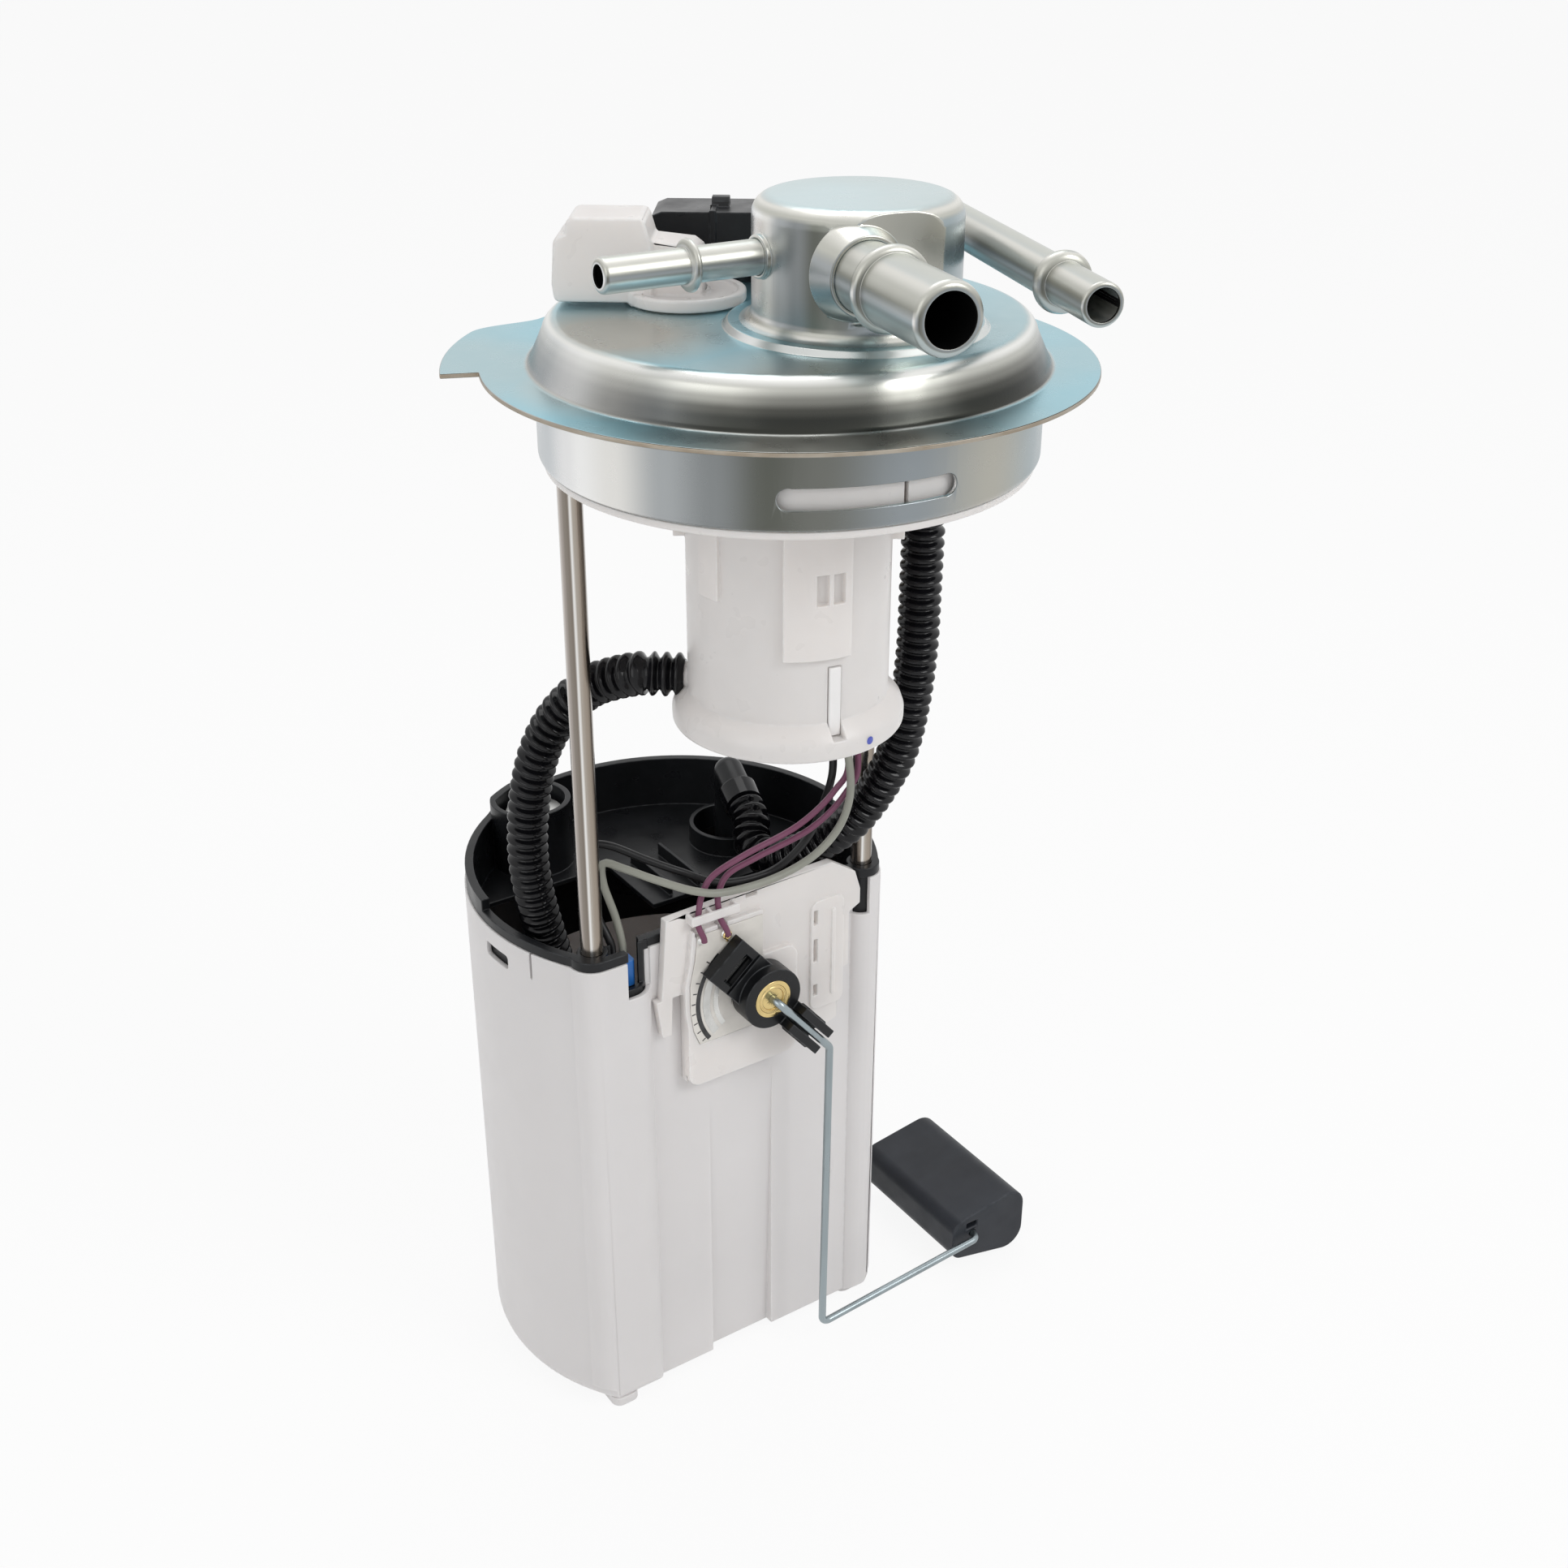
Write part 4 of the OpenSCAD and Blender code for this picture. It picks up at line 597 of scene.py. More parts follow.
def strainer_mesh():
    """Woven strainer cloth over its frame."""

    def weave(tree, shade):
        net = maths(tree, "MULTIPLY", stripes(tree, 330.0, "X"), stripes(tree, 330.0, "Y"))
        return mixed(tree, ranged(tree, net, 0.1, 0.5), shade, (0.28, 0.27, 0.24, 1))

    return finish("Strainer Cloth", (0.62, 0.6, 0.52), (0.54, 0.52, 0.45), (0.6, 0.75), 1200.0, 0.4,
                  paint=weave)


PAINTED = {made.__name__: made for made in (
    zinc_steel, turret_steel, pipe_steel, stainless, float_black, windings, strainer_mesh,
)}
# Lead jackets have faint lengthways marks.
LEAD = {"patch": 70.0, "stretch": (1, 1, 0.35), "IOR": 1.5, "Specular_IOR_Level": 0.3}
# A tone in quotes is one of the module's colours, and a number as second tone is a share of the
# first.
PLAIN = {
    # Painted shade: near black laid inside a pipe's mouth where the bore lies in shade
    "bore_black": ("Dark Bore", (0.003, 0.003, 0.003), (0.006, 0.006, 0.006), (0.8, 0.95),
                   1500.0, 0.1, {"Specular_IOR_Level": 0.1}),
    "cut_edge": ("Cut Edge", (0.30, 0.25, 0.19), (0.42, 0.38, 0.32), (0.35, 0.55), 1800.0, 0.3,
                 {"patch": 90.0, "stretch": (1, 1, 4), "Metallic": 0.8}),
    "milky_nylon": ("Milky Nylon", "milky", 0.96, (0.34, 0.46), 1300.0, 0.07, {
        "wear": 0.35, "worn": (0.92, 0.91, 0.9), "patch": 14.0, "wave": 1.4,
        "Subsurface_Weight": 0.3, "Subsurface_Scale": 0.004,
        "Subsurface_Radius": (1.0, 0.93, 0.88), "IOR": 1.5, "Specular_IOR_Level": 0.4}),
    "clear_nylon": ("Thin Milky Nylon", "milky_clear", 0.95, (0.26, 0.38), 1500.0, 0.05, {
        "wear": 0.3, "worn": (0.94, 0.93, 0.92), "patch": 34.0, "wave": 1.0,
        "Subsurface_Weight": 0.45, "Subsurface_Scale": 0.006,
        "Subsurface_Radius": (1.0, 0.92, 0.86), "IOR": 1.5, "Specular_IOR_Level": 0.4}),
    "white_nylon": ("White Nylon", (0.9, 0.89, 0.885), (0.86, 0.85, 0.845), (0.3, 0.42), 1500.0,
                    0.06, {"patch": 60.0, "Specular_IOR_Level": 0.4}),
    "black_plastic": ("Black Plastic", "black", 1.7, (0.26, 0.4), 1600.0, 0.1, {
        "wear": 0.4, "worn": (0.06, 0.065, 0.07), "patch": 50.0, "wave": 1.0, "IOR": 1.5,
        "Specular_IOR_Level": 0.28}),
    "hose_black": ("Hose Nylon", "hose", 1.5, (0.1, 0.18), 2200.0, 0.02, {
        "patch": 70.0, "wave": 0.2, "IOR": 1.5, "Specular_IOR_Level": 0.26}),
    "rubber_black": ("Black Rubber", "rubber", 1.5, (0.55, 0.75), 1700.0, 0.35,
                     {"patch": 60.0, "IOR": 1.48}),
    "brass": ("Turned Brass", "brass", 0.8, (0.16, 0.3), 2600.0, 0.12,
              {"wear": 0.4, "worn": (0.85, 0.66, 0.36), "patch": 140.0, "Metallic": 1.0}),
    "tin_plate": ("Tin Plate", "tin", 0.8, (0.22, 0.36), 2200.0, 0.15,
                  {"patch": 120.0, "Metallic": 1.0}),
    "wire_steel": ("Drawn Wire", "wire", 0.75, (0.24, 0.38), 2600.0, 0.15,
                   {"patch": 80.0, "stretch": (1, 1, 0.2), "Metallic": 0.95}),
    "spring_steel": ("Spring Steel", (0.42, 0.42, 0.43), (0.3, 0.3, 0.31), (0.22, 0.36), 2400.0,
                     0.12, {"patch": 90.0, "Metallic": 1.0}),
    "purple_wire": ("Purple Jacket", "purple", 0.8, (0.3, 0.42), 1800.0, 0.14, LEAD),
    "grey_wire": ("Grey Jacket", "grey", 0.8, (0.3, 0.42), 1800.0, 0.14, LEAD),
    "black_wire": ("Black Jacket", (0.012, 0.012, 0.013), 0.8, (0.3, 0.42), 1800.0, 0.14, LEAD),
    "blue_plastic": ("Blue Plastic", "blue", 1.35, (0.34, 0.46), 1500.0, 0.14,
                     {"wear": 0.4, "worn": (0.12, 0.28, 0.55), "patch": 120.0, "IOR": 1.5}),
    "ink_blue": ("Inspection Ink", "ink", (0.12, 0.16, 0.52), (0.4, 0.6), 2600.0, 0.1,
                 {"patch": 700.0}),
    "ceramic": ("Ceramic Card", "ceramic", 0.9, (0.42, 0.55), 2400.0, 0.2,
                {"wear": 0.3, "worn": (0.82, 0.81, 0.78), "patch": 160.0}),
    "printed_black": ("Printed Black", (0.014, 0.014, 0.016), (0.04, 0.04, 0.042), (0.4, 0.55),
                      2600.0, 0.2, {"patch": 300.0}),
    "pump_steel": ("Rolled Pump Steel", (0.5, 0.5, 0.49), (0.4, 0.4, 0.39), (0.26, 0.4), 900.0,
                   0.12, {"wear": 0.3, "worn": (0.72, 0.72, 0.7),
                          "stretch": (1, 1, 4), "Metallic": 0.95}),
    "ferrite": ("Ferrite", (0.05, 0.05, 0.052), (0.09, 0.09, 0.09), (0.5, 0.7), 1400.0, 0.4,
                {"patch": 120.0}),
    "carbon": ("Carbon", (0.03, 0.03, 0.032), (0.07, 0.07, 0.07), (0.45, 0.6), 2600.0, 0.3, {}),
    "die_cast": ("Die Cast", (0.36, 0.37, 0.38), (0.28, 0.29, 0.3), (0.36, 0.52), 900.0, 0.3,
                 {"wear": 0.4, "worn": (0.6, 0.6, 0.6), "Metallic": 0.9}),
    "grey_plastic": ("Grey Plastic", (0.1, 0.105, 0.11), (0.14, 0.145, 0.15), (0.4, 0.55),
                     1500.0, 0.2, {}),
    "float_white": ("Valve Float", (0.7, 0.69, 0.66), (0.64, 0.63, 0.6), (0.36, 0.5), 1500.0,
                    0.12, {"wear": 0.3, "worn": (0.85, 0.85, 0.83), "patch": 30.0}),
}


def finish_of(key):
    """The material of a slot or of a named finish."""
    if key in PAINTED:
        return PAINTED[key]()
    name, tone, second, *surface, more = PLAIN[key]
    if isinstance(tone, str):
        tone = getattr(colours(), tone)
    if isinstance(second, float):
        second = darker(tone, second)
    return finish(name, tone, second, *surface, **more)


SLOT_OF = {part["node"]: part["material_slot"] for part in frame["record"]["subparts"]}
BODY_OF = {
    node: body for body, nodes in frame["record"]["behaviour"]["bodies"].items() for node in nodes
}


# Shape helpers

# Edges with a sharper turn than this are rounded, in degrees
CORNER = 32


def new_object(name, data):
    made = bpy.data.objects.new(name, data)
    bpy.context.scene.collection.objects.link(made)
    return made


def new_piece(name, mesh, material, crease=35):
    """A mesh or bmesh as a piece, its curves shaded smooth and its corners left crisp."""
    if isinstance(mesh, bmesh.types.BMesh):
        mesh = mesh_of(name, mesh)
    mesh.materials.append(material)
    mesh.polygons.foreach_set("use_smooth", [True] * len(mesh.polygons))
    mesh.set_sharp_from_angle(angle=math.radians(crease))
    return new_object(name, mesh)


def mesh_of(name, shape):
    mesh = bpy.data.meshes.new(name)
    shape.to_mesh(mesh)
    shape.free()
    return mesh


def solid_copy(node):
    """A node's solid with its triangles joined, and even triangles on its wide faces."""
    shape = bmesh.new()
    shape.from_mesh(frame["nodes"][node].data)
    bmesh.ops.remove_doubles(shape, verts=shape.verts, dist=0.002 * MM)
    bmesh.ops.dissolve_limit(
        shape, angle_limit=math.radians(0.6), verts=shape.verts, edges=shape.edges
    )
    wide = [face for face in shape.faces if len(face.verts) > 4]
    bmesh.ops.triangulate(shape, faces=wide, ngon_method="BEAUTY")
    return shape


def round_edges(shape, width):
    """Rounds the sharp edges of a shape, and marks their faces for wear."""
    worn = shape.faces.layers.float.new("edge_wear")
    low, high = corners(shape)
    edges = [
        edge for edge in shape.edges
        if edge.is_manifold and edge.calc_face_angle(0) > math.radians(CORNER)
    ]
    made = bmesh.ops.bevel(
        shape, geom=edges, offset=width, offset_type="OFFSET", segments=sizes().edge_steps,
        profile=0.5, affect="EDGES", material=-1, clamp_overlap=False, loop_slide=False,
    )
    for face in made["faces"]:
        face[worn] = 1.0
    for vert in shape.verts:
        vert.co = [min(max(c, a), b) for c, a, b in zip(vert.co, low, high)]


def corners(shape):
    """Lowest and highest corner of the box round a shape."""
    spots = [vert.co for vert in shape.verts]
    return tuple(tuple(pick(spot[i] for spot in spots) for i in range(3)) for pick in (min, max))


def seat(name, mesh, key, body, slot, *nodes, crease=35):
    """A piece with a finish, a body to ride on and the nodes that it stands for. The slot argument
    is not used.
    """
    piece = new_piece(name, mesh, finish_of(key), crease)
    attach(piece, body)
    if nodes:
        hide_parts(*nodes)
    return piece


def dress(node, key=None, edge="edge"):
    """Stands for a node with the same solid, its edges rounded and its own finish on it. The
    modifier keeps flat faces flat beside their rounded edges."""
    shape = solid_copy(node)
    round_edges(shape, getattr(sizes(), edge))
    slot = SLOT_OF[node]
    piece = seat(node + "_body", shape, key or slot, BODY_OF[node], slot, node)
    flat = piece.modifiers.new("Flat Faces", "WEIGHTED_NORMAL")
    flat.keep_sharp = True
    flat.weight = 80
    return piece


def repaint(piece, key, chosen):
    """Gives the faces that chosen(centre, normal) picks another finish."""
    piece.data.materials.append(finish_of(key))
    spot = len(piece.data.materials) - 1
    for face in piece.data.polygons:
        if chosen(face.center, face.normal):
            face.material_index = spot


def in_bore(end, way):
    """Picks the faces that look inwards near the mouth of a pipe, for the painted shade of its
    bore.
    """
    end, way = Vector(end), Vector(way)

    def chosen(at, normal):
        arm = at - end
        out = arm - way * arm.dot(way)
        inwards = normal.dot(out) < -0.35 * out.length
        return abs(arm.dot(way)) < BORE_DEPTH * MM and inwards

    return chosen


def metres(route):
    return [Vector(point) * MM for point in route]


def moved(point):
    return Matrix.Translation(Vector(point) * MM)


def turned(degrees, axis):
    return Matrix.Rotation(math.radians(degrees), 4, axis)


def smooth_route(points, step):
    """Even steps along a smooth curve through the points."""
    fine = []
    last = len(points) - 1
    for i in range(last):
        a, b, c, d = (points[min(max(k, 0), last)] for k in range(i - 1, i + 3))
        for k in range(24):
            t = k / 24
            fine.append(0.5 * (2 * b + (c - a) * t + (2 * a - 5 * b + 4 * c - d) * t * t
                               + (3 * b - a - 3 * c + d) * t ** 3))
    fine.append(points[-1])
    return even_steps(fine, step)


def even_steps(line, step):
    total = sum((b - a).length for a, b in zip(line, line[1:]))
    count = max(2, round(total / step))
    made, walked, target = [line[0]], 0.0, total / count
    for a, b in zip(line, line[1:]):
        span = (b - a).length
        while walked + span >= target - 1e-9 and len(made) < count:
            made.append(a.lerp(b, (target - walked) / span))
            target += total / count
        walked += span
    made.append(line[-1])
    return made


def tube_mesh(name, line, radii, sides):
    """A round tube along a line, with a radius for each of its points."""
    curve = bpy.data.curves.new(name, "CURVE")
    curve.dimensions = "3D"
    curve.bevel_depth = MM
    curve.bevel_resolution = (sides - 4) // 2
    curve.use_fill_caps = True
    spline = curve.splines.new("POLY")
    spline.points.add(len(line) - 1)
    for point, at, radius in zip(spline.points, line, radii):
        point.co = (*at, 1)
        point.radius = radius / MM
    holder = new_object(name + "_line", curve)
    graph = bpy.context.evaluated_depsgraph_get()
    mesh = bpy.data.meshes.new_from_object(holder.evaluated_get(graph))
    bpy.data.objects.remove(holder)
    bpy.data.curves.remove(curve)
    mesh.name = name
    return mesh


def joined(name, meshes):
    """One mesh out of several."""
    shape = bmesh.new()
    for mesh in meshes:
        shape.from_mesh(mesh)
        bpy.data.meshes.remove(mesh)
    return mesh_of(name, shape)


def hose_radii(line, first, last):
    """Radius along a hose: a smooth sleeve at each end and round rings between."""
    size = sizes()
    total = sum((b - a).length for a, b in zip(line, line[1:]))
    step = total / (len(line) - 1)
    radii = []
    for i in range(len(line)):
        at = i * step
        edge = min(at, total - at)
        inside = first if at < total / 2 else last
        if edge < inside:
            lip = 0.35 * MM * max(0.0, 1 - edge / (0.5 * MM))
            radii.append(size.sleeve_radius - lip)
        else:
            swell = math.sin(math.pi * (at - first) / size.hose_pitch) ** 2
            radii.append(size.hose_radius - size.hose_groove * (1 - swell) ** 1.3)
    return radii


def follow(name, mesh, crease, node):
    """A soft piece in place of its node, with the node's finish and its place baked into its mesh.
    """
    piece = new_piece(name, mesh, finish_of(SLOT_OF[node]), crease)
    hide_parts(node)
    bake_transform(piece)


def hose_piece(name, route, first, last, node):
    """A corrugated hose from the reservoir to the head."""
    line = smooth_route(metres(route), sizes().hose_pitch / 14)
    mesh = tube_mesh(name, line, hose_radii(line, first, last), 24)
    follow(name, mesh, 80, node)


def lead_piece(name, routes, radius, node):
    """Leads from the connector down to the reservoir."""
    meshes = [
        even_tube(name, smooth_route(metres(route), 1.2 * MM), radius, 12) for route in routes
    ]
    follow(name, joined(name, meshes), 60, node)


def even_tube(name, line, radius, sides):
    return tube_mesh(name, line, [radius] * len(line), sides)


def coil(name, at, radius, low, high, turns, wire, sides):
    """The wire of a spring between its two ends, all in millimetres."""
    steps = 20
    count = turns * steps
    low, high = low + wire, high - wire
    line = [
        Vector((at[0] + radius * math.cos(math.tau * i / steps),
                at[1] + radius * math.sin(math.tau * i / steps),
                low + (high - low) * i / count)) * MM
        for i in range(count + 1)
    ]
    return even_tube(name, line, wire * MM, sides)


def disc(shape, at, way, radius):
    """A thin round spot on a surface that looks that way."""
    turn = Vector(way).to_track_quat("Z", "Y").to_matrix().to_4x4()
    bmesh.ops.create_cone(
        shape, cap_ends=True, segments=20, radius1=radius, radius2=0.9 * radius,
        depth=0.06 * MM, matrix=moved(at) @ turn,
    )


def block(shape, pose, size):
    """A cuboid of so many millimetres, in the pose of a matrix."""
    scale = Matrix.Diagonal((*(Vector(size) * MM), 1))
    return bmesh.ops.create_cube(shape, size=1.0, matrix=pose @ scale)["verts"]


def card_track(shape, hub, inner, outer):
    """A printed arc on the card, swept round the hub."""
    start, stop = (math.radians(a) for a in TRACK_TURN)
    spots = [
        shape.verts.new(hub + Vector((math.cos(start) * r * MM, y * MM, math.sin(start) * r * MM)))
        for r, y in ((inner, 0.02), (outer, 0.02), (outer, -0.12), (inner, -0.12))
    ]
    face = shape.faces.new(spots)
    bmesh.ops.spin(shape, geom=[face, *face.edges, *spots], cent=hub, axis=(0, -1, 0),
                   angle=stop - start, steps=28, use_duplicate=False)
    bmesh.ops.recalc_face_normals(shape, faces=shape.faces)


# Operators


class FUEL_PUMP_OT_camera(bpy.types.Operator):
    """Place the camera where the picture of the module is taken from"""

    bl_idname = "fuel_pump.camera"
    bl_label = "Place the Camera"

    def execute(self, context):
        data = bpy.data.cameras.new("Camera")
        data.sensor_width = SENSOR_WIDTH
        data.lens = FOCAL_PIXELS / IMAGE_SIDE * SENSOR_WIDTH
        camera = new_object("Camera", data)
        level = math.cos(CAMERA_PITCH)
        ahead = Vector((math.sin(CAMERA_HEADING) * level, math.cos(CAMERA_HEADING) * level,
                        -math.sin(CAMERA_PITCH)))
        side = Vector((math.cos(CAMERA_HEADING), -math.sin(CAMERA_HEADING), 0))
        up = side.cross(ahead)
        c, s = math.cos(CAMERA_ROLL), math.sin(CAMERA_ROLL)
        right, top = c * side + s * up, c * up - s * side
        turn = Matrix((right, top, -ahead)).transposed().to_4x4()
        camera.matrix_world = Matrix.Translation(CAMERA_AT) @ turn
        context.scene.camera = camera
        return {"FINISHED"}


class FUEL_PUMP_OT_flange(bpy.types.Operator):
    """Build the pressed flange and the skirt under it"""

    bl_idname = "fuel_pump.flange"
    bl_label = "Flange and Skirt"

    def execute(self, context):
        flange = dress("mounting_flange")
        repaint(flange, "cut_edge", lambda at, way: (
            abs(way.z) < 0.6 and -0.1 * MM < at.z < SHEET_TOP * MM
            and at.xy.length > RIM_FROM * MM))
        dress("skirt_band")
        return {"FINISHED"}


class FUEL_PUMP_OT_turret(bpy.types.Operator):
    """Build the turret over the vent valve, and the pipe stubs"""

    bl_idname = "fuel_pump.turret"
    bl_label = "Turret and Pipes"

    def execute(self, context):
        dress("turret_cup", "turret_steel")
        for mount in frame["record"]["mounts"]:
            node = mount["name"].removesuffix("_end")
            if node in ("vapor_pipe", "vent_pipe", "feed_pipe"):
                pipe = dress(node, "pipe_steel", "fine_edge")
                # The bore of each pipe is painted black as shade
                repaint(pipe, "bore_black", in_bore(mount["pos_m"], mount["axis"]))
        return {"FINISHED"}


class FUEL_PUMP_OT_sensor(bpy.types.Operator):
    """Build the tank pressure sensor with its grommet and terminals"""

    bl_idname = "fuel_pump.sensor"
    bl_label = "Pressure Sensor"

    def execute(self, context):
        dress("sensor_grommet")
        dress("pressure_sensor", "clear_nylon", "soft_edge")
        dress("sensor_terminals", edge="fine_edge")
        return {"FINISHED"}


class FUEL_PUMP_OT_connector(bpy.types.Operator):
    """Build the electrical connector with its terminals"""

    bl_idname = "fuel_pump.connector"
    bl_label = "Electrical Connector"

    def execute(self, context):
        dress("electrical_connector")
        dress("connector_pins", edge="fine_edge")
        return {"FINISHED"}


class FUEL_PUMP_OT_valve(bpy.types.Operator):
    """Build the retainer and the vent valve under the flange"""

    bl_idname = "fuel_pump.valve"
    bl_label = "Vent Valve"

    def execute(self, context):
        dress("retainer_disc", "clear_nylon")
        dress("valve_housing", "clear_nylon")
        tongue = bmesh.new()
        block(tongue, turned(TONGUE_BEARING, "Z") @ moved(TONGUE_AT), TONGUE_SIZE)
        round_edges(tongue, 0.25 * MM)
        seat("valve_tongue", tongue, "white_nylon", "head", "milky_nylon")
        dress("valve_base")
        dress("valve_float")
        mesh = coil("valve_coil", (0, 0), VALVE_SPRING_RADIUS, VALVE_SPRING_FOOT,
                    VALVE_SPRING_TOP, VALVE_SPRING_TURNS, VALVE_SPRING_WIRE, 12)
        seat("valve_coil", mesh, "spring_steel", "head", "spring_steel", "valve_spring", crease=60)
        return {"FINISHED"}


class FUEL_PUMP_OT_rods(bpy.types.Operator):
    """Build the two guide rods, their pins and the return springs"""

    bl_idname = "fuel_pump.rods"
    bl_label = "Rods and Springs"

    def execute(self, context):
        dress("guide_rods")
        dress("rod_stop_pins", edge="fine_edge")
        mesh = joined("return_coils", [
            coil("return_coil", (side * ROD_X, ROD_Y), SPRING_RADIUS, SPRING_FOOT, SPRING_TOP,
                 SPRING_TURNS, SPRING_WIRE, 10)
            for side in (-1, 1)
        ])
        coils = seat("return_coils", mesh, "spring_steel", "reservoir", "spring_steel",
                     "return_springs", crease=60)
        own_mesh(coils)
        return {"FINISHED"}


class FUEL_PUMP_OT_reservoir(bpy.types.Operator):
    """Build the reservoir and the black insert in its mouth"""

    bl_idname = "fuel_pump.reservoir"
    bl_label = "Reservoir"

    def execute(self, context):
        dress("reservoir_cup")
        dress("retainer_insert")
        dress("inlet_valve")
        return {"FINISHED"}


class FUEL_PUMP_OT_pump(bpy.types.Operator):
    """Build the pump and the parts round it inside the reservoir"""

    bl_idname = "fuel_pump.pump"
    bl_label = "Pump"

    def execute(self, context):
        for node in (
            "pump_case", "pump_magnets", "pump_outlet_cap", "pump_brushes", "pump_inlet_cap",
            "pump_isolator", "inlet_strainer", "jet_pump", "pressure_regulator", "outlet_elbow",
            "pump_armature", "pump_shaft", "pump_impeller",
        ):
            dress(node)
        return {"FINISHED"}


class FUEL_PUMP_OT_hoses(bpy.types.Operator):
    """Build the feed hose and the drain hose"""

    bl_idname = "fuel_pump.hoses"
    bl_label = "Hoses"

    def execute(self, context):
        back = (Vector(FEED_ROUTE[0]) - Vector(FEED_ROUTE[1])).normalized() * 6
        feed = (tuple(Vector(FEED_ROUTE[0]) + back), *FEED_ROUTE, (46, 4, -11.8))
        hose_piece("feed_hose_tube", feed, 7.5 * MM, 14.5 * MM,
                   "feed_hose")
        out = Vector((math.cos(SPIGOT_ANGLE), math.sin(SPIGOT_ANGLE), 0)) * 7.4
        drain = (tuple(Vector(DRAIN_ROUTE[0]) - out), *DRAIN_ROUTE, (-39, 59, -221.7))
        hose_piece("drain_hose_tube", drain, 0.0, 9.5 * MM,
                   "drain_hose")
        return {"FINISHED"}


class FUEL_PUMP_OT_leads(bpy.types.Operator):
    """Build the leads to the level sender and to the pump"""

    bl_idname = "fuel_pump.leads"
    bl_label = "Leads"

    def execute(self, context):
        size = sizes()
        lead_piece("purple_pair", (PURPLE_A_ROUTE, PURPLE_B_ROUTE), size.thin_lead_radius,
                   "purple_leads")
        for node, route in (("grey_lead", GREY_ROUTE), ("black_lead", BLACK_ROUTE)):
            lead_piece(node + "_run", (route,), size.lead_radius, node)
        dress("lead_terminal")
        return {"FINISHED"}


class FUEL_PUMP_OT_sender(bpy.types.Operator):
    """Build the sender's bracket, its printed card and its tracks"""

    bl_idname = "fuel_pump.sender"
    bl_label = "Level Sender"

    def execute(self, context):
        dress("sender_bracket", "clear_nylon")
        dress("resistor_card", edge="fine_edge")
        hub = Vector((HUB[0], CARD_FRONT, HUB[1])) * MM
        silver, black = bmesh.new(), bmesh.new()
        card_track(silver, hub, 16.6, 19.0)
        card_track(silver, hub, 13.8, 15.4)
        for x, z in PADS:
            pose = moved((x, CARD_FRONT - 0.4, z)) @ turned(90, "X")
            bmesh.ops.create_cone(silver, cap_ends=True, segments=24, radius1=1.5 * MM,
                                  radius2=0.8 * MM, depth=0.8 * MM, matrix=pose)
        seat("card_tracks", silver, "tin_plate", "reservoir", "tin_plate", "card_terminals")
        card_track(black, hub, 19.9, 21.3)
        seat("card_resistor", black, "printed_black", "reservoir", "tin_plate", "card_terminals")
        marks = bmesh.new()
        for step in range(MARK_COUNT):
            degrees = TRACK_TURN[0] + 10 + 9 * step
            turn = math.radians(degrees)
            at = hub + Vector((math.cos(turn), 0, math.sin(turn))) * MARK_RADIUS * MM
            block(marks, Matrix.Translation(at) @ turned(-degrees, "Y"), MARK_SIZE)
        x, z = PADS[1]
        loop = [math.radians(15 * step) for step in range(-6, 18)]
        line = metres([(-6.6, 20.3, -171.6), (-6.9, 20.2, -170.9)] + [
            (x + 1.15 * math.cos(turn), 19.75, z + 1.15 * math.sin(turn)) for turn in loop])
        mesh = even_tube("solder_hook", line, 0.34 * MM, 10)
        seat("solder_hook", mesh, "brass", "reservoir", "tin_plate", crease=60)
        seat("card_marks", marks, "printed_black", "reservoir", "ceramic")
        return {"FINISHED"}


class FUEL_PUMP_OT_wiper(bpy.types.Operator):
    """Build the wiper arm on its brass bushing"""

    bl_idname = "fuel_pump.wiper"
    bl_label = "Wiper"

    def execute(self, context):
        dress("wiper_rotor")
        dress("pivot_bushing", edge="fine_edge")
        dress("wiper_contacts", edge="fine_edge")
        leaf = bmesh.new()
        place = (LEAF_MIDDLE, LEAF_BACK - LEAF_SIZE[1] / 2, 0)
        for vert in block(leaf, moved(place), LEAF_SIZE):
            if vert.co.z < 0 and vert.co.x > LEAF_MIDDLE * MM:
                vert.co.x = LEAF_TOE * MM
        pose = moved((HUB[0], 0, HUB[1])) @ turned(-ARM_TURN, "Y")
        bmesh.ops.transform(leaf, matrix=pose, verts=leaf.verts)
        seat("wiper_leaf", leaf, "tin_plate", "float_arm", "tin_plate")
        return {"FINISHED"}


def rounded_corners(points, radius):
    """The line with an arc in place of each inner corner."""
    steps = 7
    line = [points[0]]
    for a, b, c in zip(points, points[1:], points[2:]):
        come, go = (b - a).normalized(), (c - b).normalized()
        turn = come.angle(go)
        inner = (go - come * come.dot(go)).normalized()
        begin = b - come * radius * math.tan(turn / 2)
        for k in range(steps + 1):
            part = turn * k / steps
            line.append(begin + radius * (math.sin(part) * come + (1 - math.cos(part)) * inner))
    line.append(points[-1])
    return line


class FUEL_PUMP_OT_float(bpy.types.Operator):
    """Build the float and the bent wire that carries it"""

    bl_idname = "fuel_pump.float"
    bl_label = "Float"

    def execute(self, context):
        size = sizes()
        line = rounded_corners(metres(WIRE_ROUTE), size.wire_bend)
        mesh = even_tube("float_wire_rod", line, size.wire_radius, 16)
        seat("float_wire_rod", mesh, "wire_steel", "float_arm", "wire_steel", "float_wire",
             crease=50)
        dress("float_block", edge="soft_edge")
        return {"FINISHED"}


